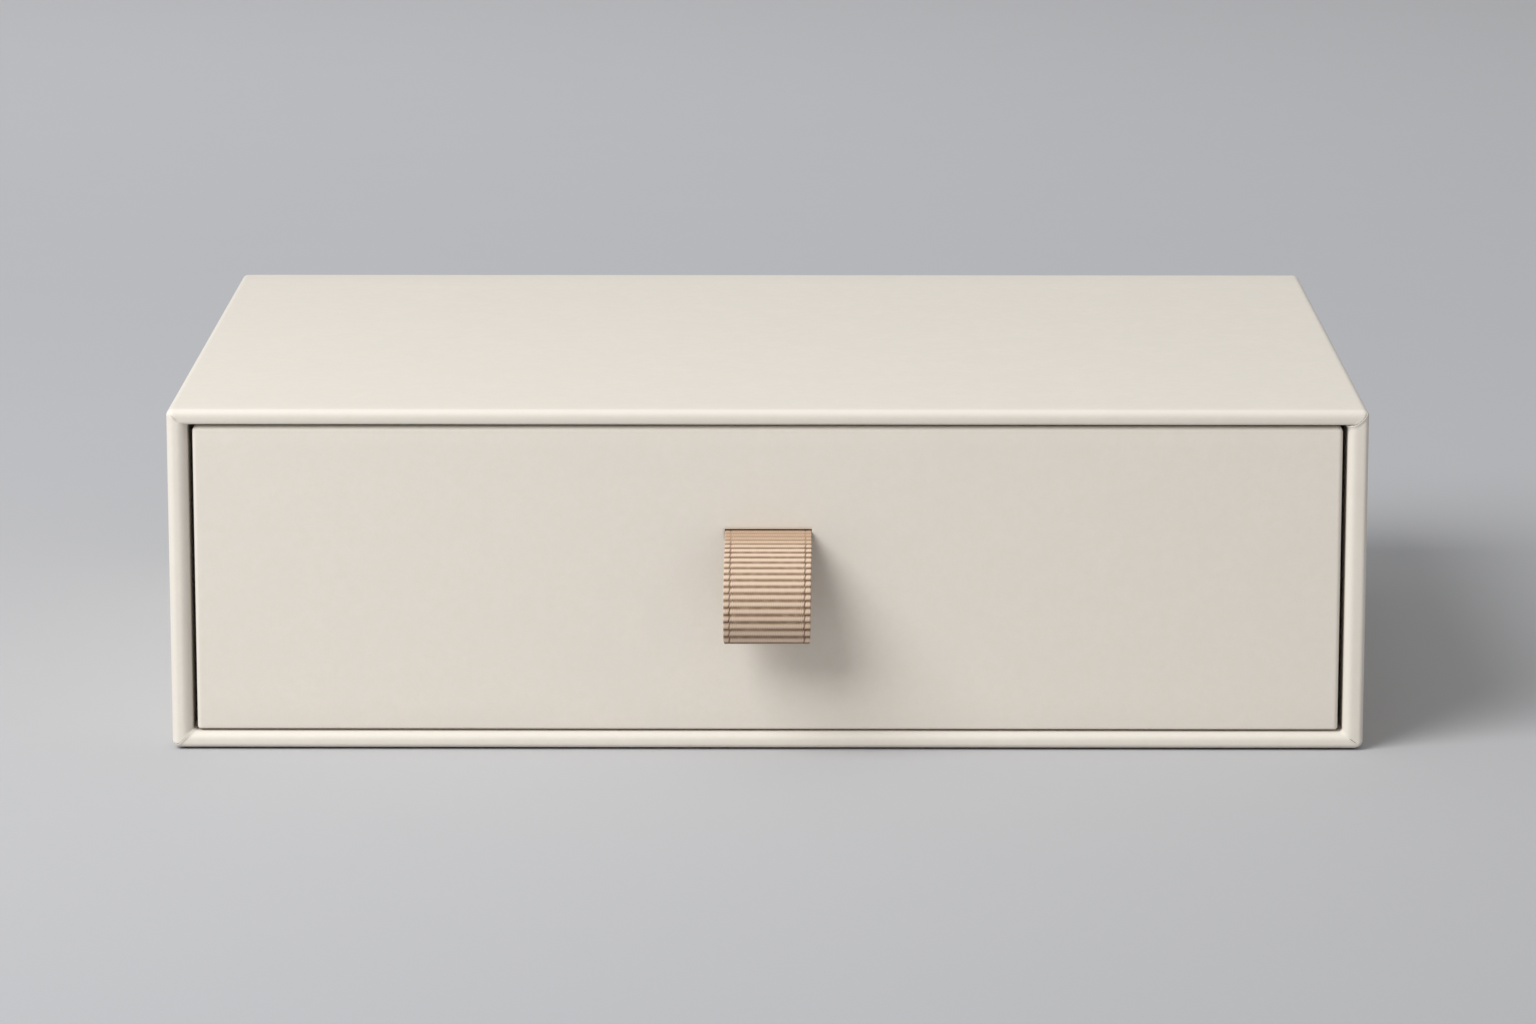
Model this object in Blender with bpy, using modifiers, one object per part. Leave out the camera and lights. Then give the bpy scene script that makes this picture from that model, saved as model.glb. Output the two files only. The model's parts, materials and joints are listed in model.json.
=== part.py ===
"""Sliding drawer gift box.

A paper-wrapped greyboard sleeve lies on its base with its open mouth towards -Y. A drawer
of the same make slides in it, and a grosgrain ribbon loop hangs out of a slot in the
drawer front. Metres, +Z up, origin at the middle of the sleeve's underside.
"""

import math

import bmesh
import bpy
from mathutils import Matrix, Vector
from mathutils.geometry import interpolate_bezier

# The sleeve's outside, and how far its paper is turned in at the mouth and at the back
SLEEVE_W = 0.220
SLEEVE_D = 0.150
SLEEVE_H = 0.064
SLEEVE_EDGE_R = 0.0012
TURN_IN_D = 0.015
BACK_FLANGE_W = 0.014
BACK_COVER_INSET = 0.002

# Greyboard thicknesses
SIDE_BOARD_T = 0.0030
TOP_BOARD_T = 0.0020
BASE_BOARD_T = 0.0026
BACK_BOARD_T = 0.0025
DRAWER_BOARD_T = 0.0020

# Paper, kraft tape, and the layer of glue on each side of the tape
PAPER_T = 0.0002
TAPE_T = 0.0001
GLUE_T = 0.000075
TAPE_LEG_W = 0.012
TAPE_END_INSET = 0.002

# Clearances between boards that butt, and between sheets that are cut to meet
BUTT_GAP = 0.0003
SHEET_GAP = 0.0003

# How the drawer sits in the sleeve
DRAWER_SIDE_GAP = 0.0008
DRAWER_TOP_GAP = 0.0003
DRAWER_BASE_GAP = 0.0003
DRAWER_BACK_GAP = 0.0003
DRAWER_FACE_RECESS = 0.0008
DRAWER_EDGE_R = 0.0007

# The ribbon, its slot, its loop in front and its two tails behind, and the patch over them
RIBBON_W = 0.016
RIBBON_T = 0.00045
RIBBON_GAP = 0.0003
SLOT_SIDE_GAP = 0.00025
SLOT_HEIGHT_SHARE = 0.648
LOOP_OUT = 0.0130
LOOP_DROP = 0.0179
LOOP_ROOT_GAP = 0.00035
TAIL_H = 0.014
TAIL_BEND_R = 0.0006
PATCH_W = 0.026
PATCH_H = 0.034

# The loop's profile: places and handles, out of the front as shares of LOOP_OUT and
# downwards as shares of LOOP_DROP
LOOP_LEAVING_SHARES = (0.44, 0.07)
LOOP_BULGE_SHARES = (1.0, 0.60)
LOOP_BULGE_HANDLE_SHARES = (0.36, 0.22)
LOOP_BOTTOM_SHARES = (0.80, 1.0)
LOOP_BOTTOM_HANDLE_SHARES = (0.12, 0.14)
LOOP_RETURN_SHARES = (0.26, 0.22)

# Facets of a rounded edge, of a ribbon's bend and of a stretch of the loop
EDGE_SEGMENTS = 3
BEND_STEPS = 5
LOOP_STEPS = 12

# An edge is rounded by at most this share of the board's thickness, and folds are sharper
# than this angle
MOST_EDGE_SHARE = 0.4
FOLD_ANGLE = math.radians(40)
CUT_OVERRUN = 0.001

# The ways that a sheet's sides look
LEFT, RIGHT = Vector((-1, 0, 0)), Vector((1, 0, 0))
FRONT, BACK = Vector((0, -1, 0)), Vector((0, 1, 0))
DOWN, UP = Vector((0, 0, -1)), Vector((0, 0, 1))

# A skin is paper, glue, tape and glue, and a wall is a board between two skins
SKIN_T = PAPER_T + GLUE_T + TAPE_T + GLUE_T
TAPE_SINK = PAPER_T + GLUE_T
SIDE_WALL_T = SIDE_BOARD_T + 2 * SKIN_T
TOP_WALL_T = TOP_BOARD_T + 2 * SKIN_T
BASE_WALL_T = BASE_BOARD_T + 2 * SKIN_T
DRAWER_WALL_T = DRAWER_BOARD_T + 2 * SKIN_T

# The sleeve's faces, outside and inside
SLEEVE_X = SLEEVE_W / 2
SLEEVE_FRONT_Y = -SLEEVE_D / 2
SLEEVE_BACK_Y = SLEEVE_D / 2
WRAP_BACK_Y = SLEEVE_BACK_Y - PAPER_T - GLUE_T
INSIDE_X = SLEEVE_X - SIDE_WALL_T
INSIDE_LOW_Z = BASE_WALL_T
INSIDE_HIGH_Z = SLEEVE_H - TOP_WALL_T
INSIDE_BACK_Y = WRAP_BACK_Y - BACK_BOARD_T - 2 * SKIN_T

# The drawer's faces, outside and inside
DRAWER_X = INSIDE_X - DRAWER_SIDE_GAP
DRAWER_LOW_Z = INSIDE_LOW_Z + DRAWER_BASE_GAP
DRAWER_HIGH_Z = INSIDE_HIGH_Z - DRAWER_TOP_GAP
DRAWER_FRONT_Y = SLEEVE_FRONT_Y + DRAWER_FACE_RECESS
DRAWER_BACK_Y = INSIDE_BACK_Y - DRAWER_BACK_GAP
TRAY_X = DRAWER_X - DRAWER_WALL_T
TRAY_FRONT_Y = DRAWER_FRONT_Y + DRAWER_WALL_T
TRAY_BACK_Y = DRAWER_BACK_Y - DRAWER_WALL_T
TRAY_FLOOR_Z = DRAWER_LOW_Z + SKIN_T + DRAWER_BOARD_T

# The slot, the two layers of ribbon in it, and the line that the loop swings about
SLOT_Z = DRAWER_LOW_Z + SLOT_HEIGHT_SHARE * (DRAWER_HIGH_Z - DRAWER_LOW_Z)
SLOT_W = RIBBON_W + 2 * SLOT_SIDE_GAP
SLOT_H = 2 * RIBBON_T + 3 * RIBBON_GAP
LAYER_OFFSET = (RIBBON_T + RIBBON_GAP) / 2
HINGE = Vector((0, DRAWER_FRONT_Y - LOOP_ROOT_GAP, SLOT_Z + LAYER_OFFSET + RIBBON_T / 2))
TAIL_Y = TRAY_FRONT_Y + GLUE_T + RIBBON_T / 2
PATCH_Y = TRAY_FRONT_Y + GLUE_T + RIBBON_T + GLUE_T


def clear_scene():
    """Removes every object that the scene holds."""
    for old in list(bpy.data.objects):
        bpy.data.objects.remove(old, do_unlink=True)


def new_collection(name, hidden=False):
    """Adds a collection to the scene, hidden from renders if it holds cutters."""
    group = bpy.data.collections.new(name)
    group.hide_render = hidden
    bpy.context.scene.collection.children.link(group)
    return group


def new_material(name, colour, roughness):
    """Makes a Principled material of a colour and a roughness: nothing here is metal."""
    material = bpy.data.materials.new(name)
    material.use_nodes = True
    shader = material.node_tree.nodes["Principled BSDF"]
    shader.inputs["Base Color"].default_value = (*colour, 1.0)
    shader.inputs["Roughness"].default_value = roughness
    shader.inputs["Metallic"].default_value = 0.0
    material.diffuse_color = (*colour, 1.0)
    return material


def box_mesh(low, high):
    """Makes the mesh of a box between its lowest and highest corners."""
    low, high = Vector(low), Vector(high)
    bm = bmesh.new()
    place = Matrix.Translation((low + high) / 2) @ Matrix.Diagonal((*(high - low), 1))
    bmesh.ops.create_cube(bm, size=1, matrix=place)
    bm.normal_update()
    return bm


def looks(face, way):
    """Says whether a face looks a certain way."""
    return face.normal.dot(way) > math.cos(FOLD_ANGLE)


def face_towards(bm, way):
    """Finds the box's side that looks a certain way."""
    return next(face for face in bm.faces if looks(face, way))


def add_object(name, bm, group, material=None, carrier=None):
    """Makes an object of a mesh laid out in world places, and hangs it on its carrier."""
    mesh = bpy.data.meshes.new(name)
    bm.to_mesh(mesh)
    bm.free()
    made = bpy.data.objects.new(name, mesh)
    group.objects.link(made)
    if material:
        mesh.materials.append(material)
    if carrier:
        made.parent = carrier
        made.matrix_parent_inverse = Matrix.Translation(-carrier.location)
    return made


def round_edges(made, radius, limit="ANGLE"):
    """Rounds the sharp edges, or those that carry a bevel weight. A radius of zero is sharp."""
    if radius <= 0:
        return
    bevel = made.modifiers.new("rounded edges", "BEVEL")
    bevel.width = radius
    bevel.segments = EDGE_SEGMENTS
    bevel.limit_method = limit
    bevel.angle_limit = FOLD_ANGLE


def thicken(made, thickness, offset=-1):
    """Gives an open sheet its thickness, behind its faces or to both sides of them."""
    solid = made.modifiers.new("thickness", "SOLIDIFY")
    solid.thickness = thickness
    solid.offset = offset
    solid.use_even_offset = True


def cut(made, cutter):
    """Cuts a hole with another object."""
    hole = made.modifiers.new("cut by " + cutter.name, "BOOLEAN")
    hole.operation = "DIFFERENCE"
    hole.object = cutter


def add_board(name, low, high, edge_r, group, material, carrier=None):
    """Makes a flat panel of greyboard with softly crushed edges."""
    thinnest = min(Vector(high) - Vector(low))
    made = add_object(name, box_mesh(low, high), group, material, carrier)
    round_edges(made, min(edge_r, MOST_EDGE_SHARE * thinnest))
    return made


def add_folded_sheet(name, low, high, sides, fold_r, sheet_t, group, material, carrier=None):
    """Makes a sheet that lies on some sides of a box and is folded where they meet."""
    bm = box_mesh(low, high)
    spare = [face for face in bm.faces if not any(looks(face, way) for way in sides)]
    bmesh.ops.delete(bm, geom=spare, context="FACES")
    made = add_object(name, bm, group, material, carrier)
    round_edges(made, fold_r)
    thicken(made, sheet_t)
    return made


def frame_face(bm, face, low, high):
    """Insets a side of the box, leaving a frame round a hole between two corners."""
    bmesh.ops.inset_region(bm, faces=[face], thickness=SKIN_T, use_even_offset=True)
    middle = face.calc_center_median()
    for vert in face.verts:
        for axis in range(3):
            if abs(face.normal[axis]) < math.cos(FOLD_ANGLE):
                vert.co[axis] = low[axis] if vert.co[axis] < middle[axis] else high[axis]
    hole_edges = list(face.edges)
    bmesh.ops.delete(bm, geom=[face], context="FACES_ONLY")
    return hole_edges


def carry_edges(bm, edges, step):
    """Carries a hole's edges along, which makes the walls of a turned-in flap."""
    made = bmesh.ops.extrude_edge_only(bm, edges=edges)["geom"]
    verts = [item for item in made if isinstance(item, bmesh.types.BMVert)]
    bmesh.ops.translate(bm, verts=verts, vec=step)


def weigh_folds(bm, sample_way):
    """Points the faces out of the wrapped body and marks its convex folds for rounding."""
    bmesh.ops.recalc_face_normals(bm, faces=bm.faces)
    outermost = max(bm.faces, key=lambda face: face.calc_center_median().dot(sample_way))
    if not looks(outermost, sample_way):
        bmesh.ops.reverse_faces(bm, faces=bm.faces)
    bm.normal_update()
    weight = bm.edges.layers.float.new("bevel_weight_edge")
    for edge in bm.edges:
        folded = len(edge.link_faces) == 2 and edge.calc_face_angle() > FOLD_ANGLE
        edge[weight] = 1.0 if folded and edge.is_convex else 0.0


def add_sleeve_wrap(group, material):
    """The outer sheet: four walls, turned in round the mouth and folded onto the back."""
    bm = box_mesh((-SLEEVE_X, SLEEVE_FRONT_Y, 0), (SLEEVE_X, WRAP_BACK_Y, SLEEVE_H))
    mouth_low = (-INSIDE_X, SLEEVE_FRONT_Y, INSIDE_LOW_Z)
    mouth_high = (INSIDE_X, SLEEVE_FRONT_Y, INSIDE_HIGH_Z)
    mouth = frame_face(bm, face_towards(bm, FRONT), mouth_low, mouth_high)
    carry_edges(bm, mouth, BACK * TURN_IN_D)
    flange_x = SLEEVE_X - BACK_FLANGE_W
    flange_low = (-flange_x, WRAP_BACK_Y, BACK_FLANGE_W)
    flange_high = (flange_x, WRAP_BACK_Y, SLEEVE_H - BACK_FLANGE_W)
    frame_face(bm, face_towards(bm, BACK), flange_low, flange_high)
    weigh_folds(bm, UP)
    made = add_object("sleeve_wrap", bm, group, material)
    round_edges(made, SLEEVE_EDGE_R, "WEIGHT")
    thicken(made, PAPER_T)


def add_sleeve_boards(group, material):
    """The five panels: top and base run right across, and the rest stand between them."""
    outer_x = SLEEVE_X - SKIN_T
    side_x = outer_x - SIDE_BOARD_T
    front_y = SLEEVE_FRONT_Y + SKIN_T
    back_y = WRAP_BACK_Y - SKIN_T
    base_z = SKIN_T + BASE_BOARD_T
    top_z = SLEEVE_H - SKIN_T - TOP_BOARD_T
    low_z = base_z + BUTT_GAP
    high_z = top_z - BUTT_GAP
    between_x = side_x - BUTT_GAP
    panels = {
        "sleeve_top_board": ((-outer_x, front_y, top_z), (outer_x, back_y, SLEEVE_H - SKIN_T)),
        "sleeve_base_board": ((-outer_x, front_y, SKIN_T), (outer_x, back_y, base_z)),
        "sleeve_left_board": ((-outer_x, front_y, low_z), (-side_x, back_y, high_z)),
        "sleeve_right_board": ((side_x, front_y, low_z), (outer_x, back_y, high_z)),
        "sleeve_back_board": (
            (-between_x, back_y - BACK_BOARD_T, low_z),
            (between_x, back_y, high_z),
        ),
    }
    for name, (low, high) in panels.items():
        add_board(name, low, high, SLEEVE_EDGE_R - SKIN_T, group, material)


def add_sleeve_papers(group, cover_material, lining_material):
    """The sheet on the back, and the lining that starts where the turned-in paper ends."""
    cover_x = SLEEVE_X - BACK_COVER_INSET
    cover_low = (-cover_x, SLEEVE_BACK_Y - PAPER_T, BACK_COVER_INSET)
    cover_high = (cover_x, SLEEVE_BACK_Y, SLEEVE_H - BACK_COVER_INSET)
    add_board("sleeve_back_cover", cover_low, cover_high, 0, group, cover_material)
    lining_x = INSIDE_X + PAPER_T
    low = (-lining_x, SLEEVE_FRONT_Y + TURN_IN_D + SHEET_GAP, INSIDE_LOW_Z - PAPER_T)
    high = (lining_x, INSIDE_BACK_Y + PAPER_T, INSIDE_HIGH_Z + PAPER_T)
    sides = (LEFT, RIGHT, DOWN, UP, BACK)
    add_folded_sheet("sleeve_lining", low, high, sides, 0, PAPER_T, group, lining_material)


def add_tapes(prefix, low, high, joints, fold_r, group, material, carrier=None):
    """Folds a gummed tape over each named joint of a box of boards.

    A joint is the pair of sides that meet there. Across, the tape has a leg on each side;
    along, it stops short of what its end would run under: an edge's rounding, or the leg
    of the tape round the corner when the joint's entry says so.
    """
    for name, (ways, low_end, high_end) in joints.items():
        corner = Vector(low) + (Vector(high) - Vector(low)) / 2
        run = ways[0].cross(ways[1])
        start, end = corner.copy(), corner.copy()
        for axis in range(3):
            if abs(run[axis]) > 0:
                start[axis] = low[axis] + low_end
                end[axis] = high[axis] - high_end
                continue
            towards_high = (ways[0] + ways[1])[axis] > 0
            start[axis] = high[axis] - TAPE_LEG_W if towards_high else low[axis]
            end[axis] = high[axis] if towards_high else low[axis] + TAPE_LEG_W
        add_folded_sheet(
            prefix + name, start, end, ways, fold_r, TAPE_T, group, material, carrier
        )


def add_sleeve_tapes(group, material):
    """Stays over the four long joints, and over the four joints round the back board."""
    low = (-SLEEVE_X + TAPE_SINK, SLEEVE_FRONT_Y + SKIN_T, TAPE_SINK)
    high = (SLEEVE_X - TAPE_SINK, WRAP_BACK_Y - TAPE_SINK, SLEEVE_H - TAPE_SINK)
    short = TAPE_END_INSET
    clear = TAPE_LEG_W + TAPE_END_INSET
    joints = {
        "top_left_tape": ((LEFT, UP), short, clear),
        "top_right_tape": ((RIGHT, UP), short, clear),
        "base_left_tape": ((LEFT, DOWN), short, clear),
        "base_right_tape": ((RIGHT, DOWN), short, clear),
        "back_top_tape": ((BACK, UP), short, short),
        "back_base_tape": ((BACK, DOWN), short, short),
        "back_left_tape": ((LEFT, BACK), clear, clear),
        "back_right_tape": ((RIGHT, BACK), clear, clear),
    }
    add_tapes("sleeve_", low, high, joints, SLEEVE_EDGE_R - TAPE_SINK, group, material)


def add_slot_cutter(group):
    """The bar that cuts the ribbon's slot through the drawer front."""
    low = (-SLOT_W / 2, DRAWER_FRONT_Y - CUT_OVERRUN, SLOT_Z - SLOT_H / 2)
    high = (SLOT_W / 2, TRAY_FRONT_Y + CUT_OVERRUN, SLOT_Z + SLOT_H / 2)
    cutter = add_object("slot_cutter", box_mesh(low, high), group)
    cutter.display_type = "WIRE"
    cutter.hide_render = True
    return cutter


def add_drawer_wrap(slot, group, material, carrier):
    """The drawer's sheet: underside, four walls, and down inside them to the floor."""
    bm = box_mesh(
        (-DRAWER_X, DRAWER_FRONT_Y, DRAWER_LOW_Z), (DRAWER_X, DRAWER_BACK_Y, DRAWER_HIGH_Z)
    )
    hole_low = (-TRAY_X, TRAY_FRONT_Y, DRAWER_HIGH_Z)
    hole_high = (TRAY_X, TRAY_BACK_Y, DRAWER_HIGH_Z)
    rim = frame_face(bm, face_towards(bm, UP), hole_low, hole_high)
    carry_edges(bm, rim, DOWN * (DRAWER_HIGH_Z - TRAY_FLOOR_Z - SHEET_GAP))
    weigh_folds(bm, DOWN)
    made = add_object("drawer_wrap", bm, group, material, carrier)
    round_edges(made, DRAWER_EDGE_R, "WEIGHT")
    thicken(made, PAPER_T)
    cut(made, slot)


def add_drawer_boards(slot, group, material, carrier):
    """The floor panel, with the front and back on it and the sides between those."""
    outer_x = DRAWER_X - SKIN_T
    side_x = outer_x - DRAWER_BOARD_T
    front_y = DRAWER_FRONT_Y + SKIN_T
    back_y = DRAWER_BACK_Y - SKIN_T
    front_inner_y = front_y + DRAWER_BOARD_T
    back_inner_y = back_y - DRAWER_BOARD_T
    low_z = DRAWER_LOW_Z + SKIN_T
    wall_z = TRAY_FLOOR_Z + BUTT_GAP
    high_z = DRAWER_HIGH_Z - SKIN_T
    side_front_y = front_inner_y + BUTT_GAP
    side_back_y = back_inner_y - BUTT_GAP
    panels = {
        "drawer_floor_board": ((-outer_x, front_y, low_z), (outer_x, back_y, TRAY_FLOOR_Z)),
        "drawer_front_board": ((-outer_x, front_y, wall_z), (outer_x, front_inner_y, high_z)),
        "drawer_back_board": ((-outer_x, back_inner_y, wall_z), (outer_x, back_y, high_z)),
        "drawer_left_board": ((-outer_x, side_front_y, wall_z), (-side_x, side_back_y, high_z)),
        "drawer_right_board": ((side_x, side_front_y, wall_z), (outer_x, side_back_y, high_z)),
    }
    edge_r = DRAWER_EDGE_R - SKIN_T
    made = {
        name: add_board(name, low, high, edge_r, group, material, carrier)
        for name, (low, high) in panels.items()
    }
    cut(made["drawer_front_board"], slot)


def add_drawer_liner(group, material, carrier):
    """The sheet on the drawer's floor, cut to lie inside the walls."""
    low = (-TRAY_X + SHEET_GAP, TRAY_FRONT_Y + SHEET_GAP, TRAY_FLOOR_Z + SHEET_GAP)
    high = (TRAY_X - SHEET_GAP, TRAY_BACK_Y - SHEET_GAP, TRAY_FLOOR_Z + SHEET_GAP + PAPER_T)
    add_board("drawer_floor_liner", low, high, 0, group, material, carrier)


def add_drawer_tapes(group, material, carrier):
    """Stays over the four upright corners, and over the four joints round the floor."""
    low = (-DRAWER_X + TAPE_SINK, DRAWER_FRONT_Y + TAPE_SINK, DRAWER_LOW_Z + TAPE_SINK)
    high = (DRAWER_X - TAPE_SINK, DRAWER_BACK_Y - TAPE_SINK, DRAWER_HIGH_Z - SKIN_T)
    short = TAPE_END_INSET
    clear = TAPE_LEG_W + TAPE_END_INSET
    joints = {
        "front_left_tape": ((LEFT, FRONT), clear, short),
        "front_right_tape": ((RIGHT, FRONT), clear, short),
        "back_left_tape": ((LEFT, BACK), clear, short),
        "back_right_tape": ((RIGHT, BACK), clear, short),
        "floor_front_tape": ((FRONT, DOWN), short, short),
        "floor_back_tape": ((BACK, DOWN), short, short),
        "floor_left_tape": ((LEFT, DOWN), clear, clear),
        "floor_right_tape": ((RIGHT, DOWN), clear, clear),
    }
    fold_r = DRAWER_EDGE_R - TAPE_SINK
    add_tapes("drawer_", low, high, joints, fold_r, group, material, carrier)


def add_ribbon(name, path, group, material, carrier=None, about=Vector()):
    """Makes a strip of ribbon along a path of (y, z) points, its origin at a given place."""
    bm = bmesh.new()
    near = [bm.verts.new((-RIBBON_W / 2 - about.x, y - about.y, z - about.z)) for y, z in path]
    edges = [bm.edges.new(pair) for pair in zip(near, near[1:])]
    carry_edges(bm, edges, RIGHT * RIBBON_W)
    bmesh.ops.recalc_face_normals(bm, faces=bm.faces)
    made = add_object(name, bm, group, material, carrier)
    made.location = about
    made.data.shade_smooth()
    thicken(made, RIBBON_T, offset=0)


def tail_path(side):
    """A tail's middle line: in through the slot, then up (side 1) or down (side -1)."""
    layer_z = SLOT_Z + side * LAYER_OFFSET
    bend_y = TAIL_Y - TAIL_BEND_R
    bend_z = layer_z + side * TAIL_BEND_R
    path = [(DRAWER_FRONT_Y, layer_z)]
    for step in range(BEND_STEPS + 1):
        turn = math.pi / 2 * step / BEND_STEPS
        y = bend_y + TAIL_BEND_R * math.sin(turn)
        path.append((y, bend_z - side * TAIL_BEND_R * math.cos(turn)))
    path.append((TAIL_Y, layer_z + side * TAIL_H))
    return path


def add_tails(group, ribbon_material, patch_material, carrier):
    """The ribbon's ends, glued up and down behind the front, and the patch over both."""
    add_ribbon("ribbon_upper_tail", tail_path(1), group, ribbon_material, carrier)
    add_ribbon("ribbon_lower_tail", tail_path(-1), group, ribbon_material, carrier)
    low = (-PATCH_W / 2, PATCH_Y, SLOT_Z - PATCH_H / 2)
    high = (PATCH_W / 2, PATCH_Y + PAPER_T, SLOT_Z + PATCH_H / 2)
    add_board("tail_patch", low, high, 0, group, patch_material, carrier)


def loop_path():
    """The loop's middle line: out and down to its bulge, round its bottom, and back up."""

    def shared(out_share, down_share):
        """A step in the plane of the profile, as shares of the loop's two sizes."""
        return Vector((out_share * LOOP_OUT, -down_share * LOOP_DROP, 0))

    start = Vector((LOOP_ROOT_GAP, LAYER_OFFSET, 0))
    end = Vector((LOOP_ROOT_GAP, -LAYER_OFFSET, 0))
    bulge = shared(*LOOP_BULGE_SHARES)
    bottom = shared(*LOOP_BOTTOM_SHARES)
    rise, fall = (shared(0, share) for share in LOOP_BULGE_HANDLE_SHARES)
    ahead, behind = (shared(share, 0) for share in LOOP_BOTTOM_HANDLE_SHARES)
    stretches = (
        (start, start + shared(*LOOP_LEAVING_SHARES), bulge - rise, bulge),
        (bulge, bulge + fall, bottom + ahead, bottom),
        (bottom, bottom - behind, end + shared(*LOOP_RETURN_SHARES), end),
    )
    path = [start]
    for stretch in stretches:
        path += interpolate_bezier(*stretch, LOOP_STEPS + 1)[1:]
    return [(DRAWER_FRONT_Y - point.x, SLOT_Z + point.y) for point in path]


def build():
    """Makes the whole box."""
    clear_scene()
    box = new_collection("sliding_drawer_gift_box")
    cutters = new_collection("cutters", hidden=True)

    cream = new_material("cream_paper", (0.80, 0.75, 0.68), 0.62)
    inner_cream = new_material("inner_paper", (0.82, 0.78, 0.71), 0.70)
    board_grey = new_material("greyboard", (0.36, 0.33, 0.29), 0.88)
    kraft = new_material("kraft_tape", (0.47, 0.31, 0.17), 0.75)
    grosgrain = new_material("grosgrain_ribbon", (0.62, 0.47, 0.34), 0.78)

    add_sleeve_wrap(box, cream)
    add_sleeve_boards(box, board_grey)
    add_sleeve_papers(box, cream, inner_cream)
    add_sleeve_tapes(box, kraft)

    slider = bpy.data.objects.new("drawer_slide_axis", None)
    slider.location = (0, DRAWER_FRONT_Y, DRAWER_LOW_Z)
    box.objects.link(slider)
    slot = add_slot_cutter(cutters)
    add_drawer_wrap(slot, box, cream, slider)
    add_drawer_boards(slot, box, board_grey, slider)
    add_drawer_liner(box, inner_cream, slider)
    add_drawer_tapes(box, kraft, slider)
    add_tails(box, grosgrain, inner_cream, slider)

    add_ribbon("ribbon_loop", loop_path(), box, grosgrain, slider, about=HINGE)


build()
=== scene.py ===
"""Looks of the sliding drawer gift box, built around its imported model.

A cream paper wrap is folded round a greyboard sleeve and round the drawer that slides in it,
and a tan grosgrain ribbon comes out of a slot in the drawer's front. The papers and the ribbon
are numpy surfaces that stand for their plain solids, and the boards, the tapes and the lining
keep their solids and get their materials here. Metres, +Z up, the mouth towards -Y.
"""

import json
import logging
import math
from collections.abc import Mapping, Sequence
from dataclasses import dataclass, field
from enum import Enum

import bmesh
import bpy
import numpy as np
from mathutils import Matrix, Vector


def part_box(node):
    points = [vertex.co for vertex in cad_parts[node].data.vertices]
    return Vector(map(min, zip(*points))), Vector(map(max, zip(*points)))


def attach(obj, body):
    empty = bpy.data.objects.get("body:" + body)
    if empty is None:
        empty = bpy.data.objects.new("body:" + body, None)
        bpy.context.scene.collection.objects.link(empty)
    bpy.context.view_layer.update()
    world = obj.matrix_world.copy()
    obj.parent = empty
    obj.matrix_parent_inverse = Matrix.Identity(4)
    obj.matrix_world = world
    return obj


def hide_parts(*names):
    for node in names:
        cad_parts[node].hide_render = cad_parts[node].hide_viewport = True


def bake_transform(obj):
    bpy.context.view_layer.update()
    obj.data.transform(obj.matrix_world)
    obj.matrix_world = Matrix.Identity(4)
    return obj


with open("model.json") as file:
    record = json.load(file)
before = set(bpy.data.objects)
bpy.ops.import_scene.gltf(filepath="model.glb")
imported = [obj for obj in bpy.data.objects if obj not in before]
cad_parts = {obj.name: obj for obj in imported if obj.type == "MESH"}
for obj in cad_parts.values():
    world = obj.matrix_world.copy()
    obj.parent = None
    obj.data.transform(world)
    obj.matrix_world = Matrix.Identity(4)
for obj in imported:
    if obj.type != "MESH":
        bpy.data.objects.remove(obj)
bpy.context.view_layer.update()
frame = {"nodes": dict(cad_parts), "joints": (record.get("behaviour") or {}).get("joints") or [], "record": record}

log = logging.getLogger("gift_box")

MM = 0.001
QUARTER = math.pi / 2
WELD = 0.002 * MM
RIBBON_T = 0.45 * MM
RIBBON_X = 0.2 * MM
RIBBON_GAP = 0.3 * MM
LAYER_OFFSET = (RIBBON_T + RIBBON_GAP) / 2

Array = np.ndarray
Pair = tuple[float, float]
Triple = tuple[float, float, float]


def linear(colour: Triple) -> tuple[float, float, float, float]:
    """Turns a screen colour into the linear one that shaders take.

    Args:
        colour: Red, green and blue from 0 to 255, as a screen shows them.

    Returns:
        Linear red, green and blue from 0 to 1, and a full alpha.
    """
    share = np.array(colour) / 255
    bent = np.where(share <= 0.04045, share / 12.92, ((share + 0.055) / 1.055) ** 2.4)
    return (*bent.tolist(), 1.0)


def smooth_step(value: Array, low: float, high: float) -> Array:
    """Rises from 0 at low to 1 at high along 3t^2 - 2t^3."""
    t = np.clip((value - low) / (high - low), 0, 1)
    return t * t * (3 - 2 * t)


def millimetres(*places: float) -> Array:
    """Returns places that are given in millimetres."""
    return MM * np.array(places)


def sine_spaced(count: int) -> Array:
    """Returns places from -1 to 1 that draw together towards both ends."""
    return np.sin(np.linspace(-QUARTER, QUARTER, count))


def placed(name: str, data: bpy.types.ID) -> bpy.types.Object:
    """Puts an object in the scene.

    Args:
        name: Its name.
        data: Its mesh, light or camera.

    Returns:
        The object.
    """
    made = bpy.data.objects.new(name, data)
    bpy.context.scene.collection.objects.link(made)
    return made


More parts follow.
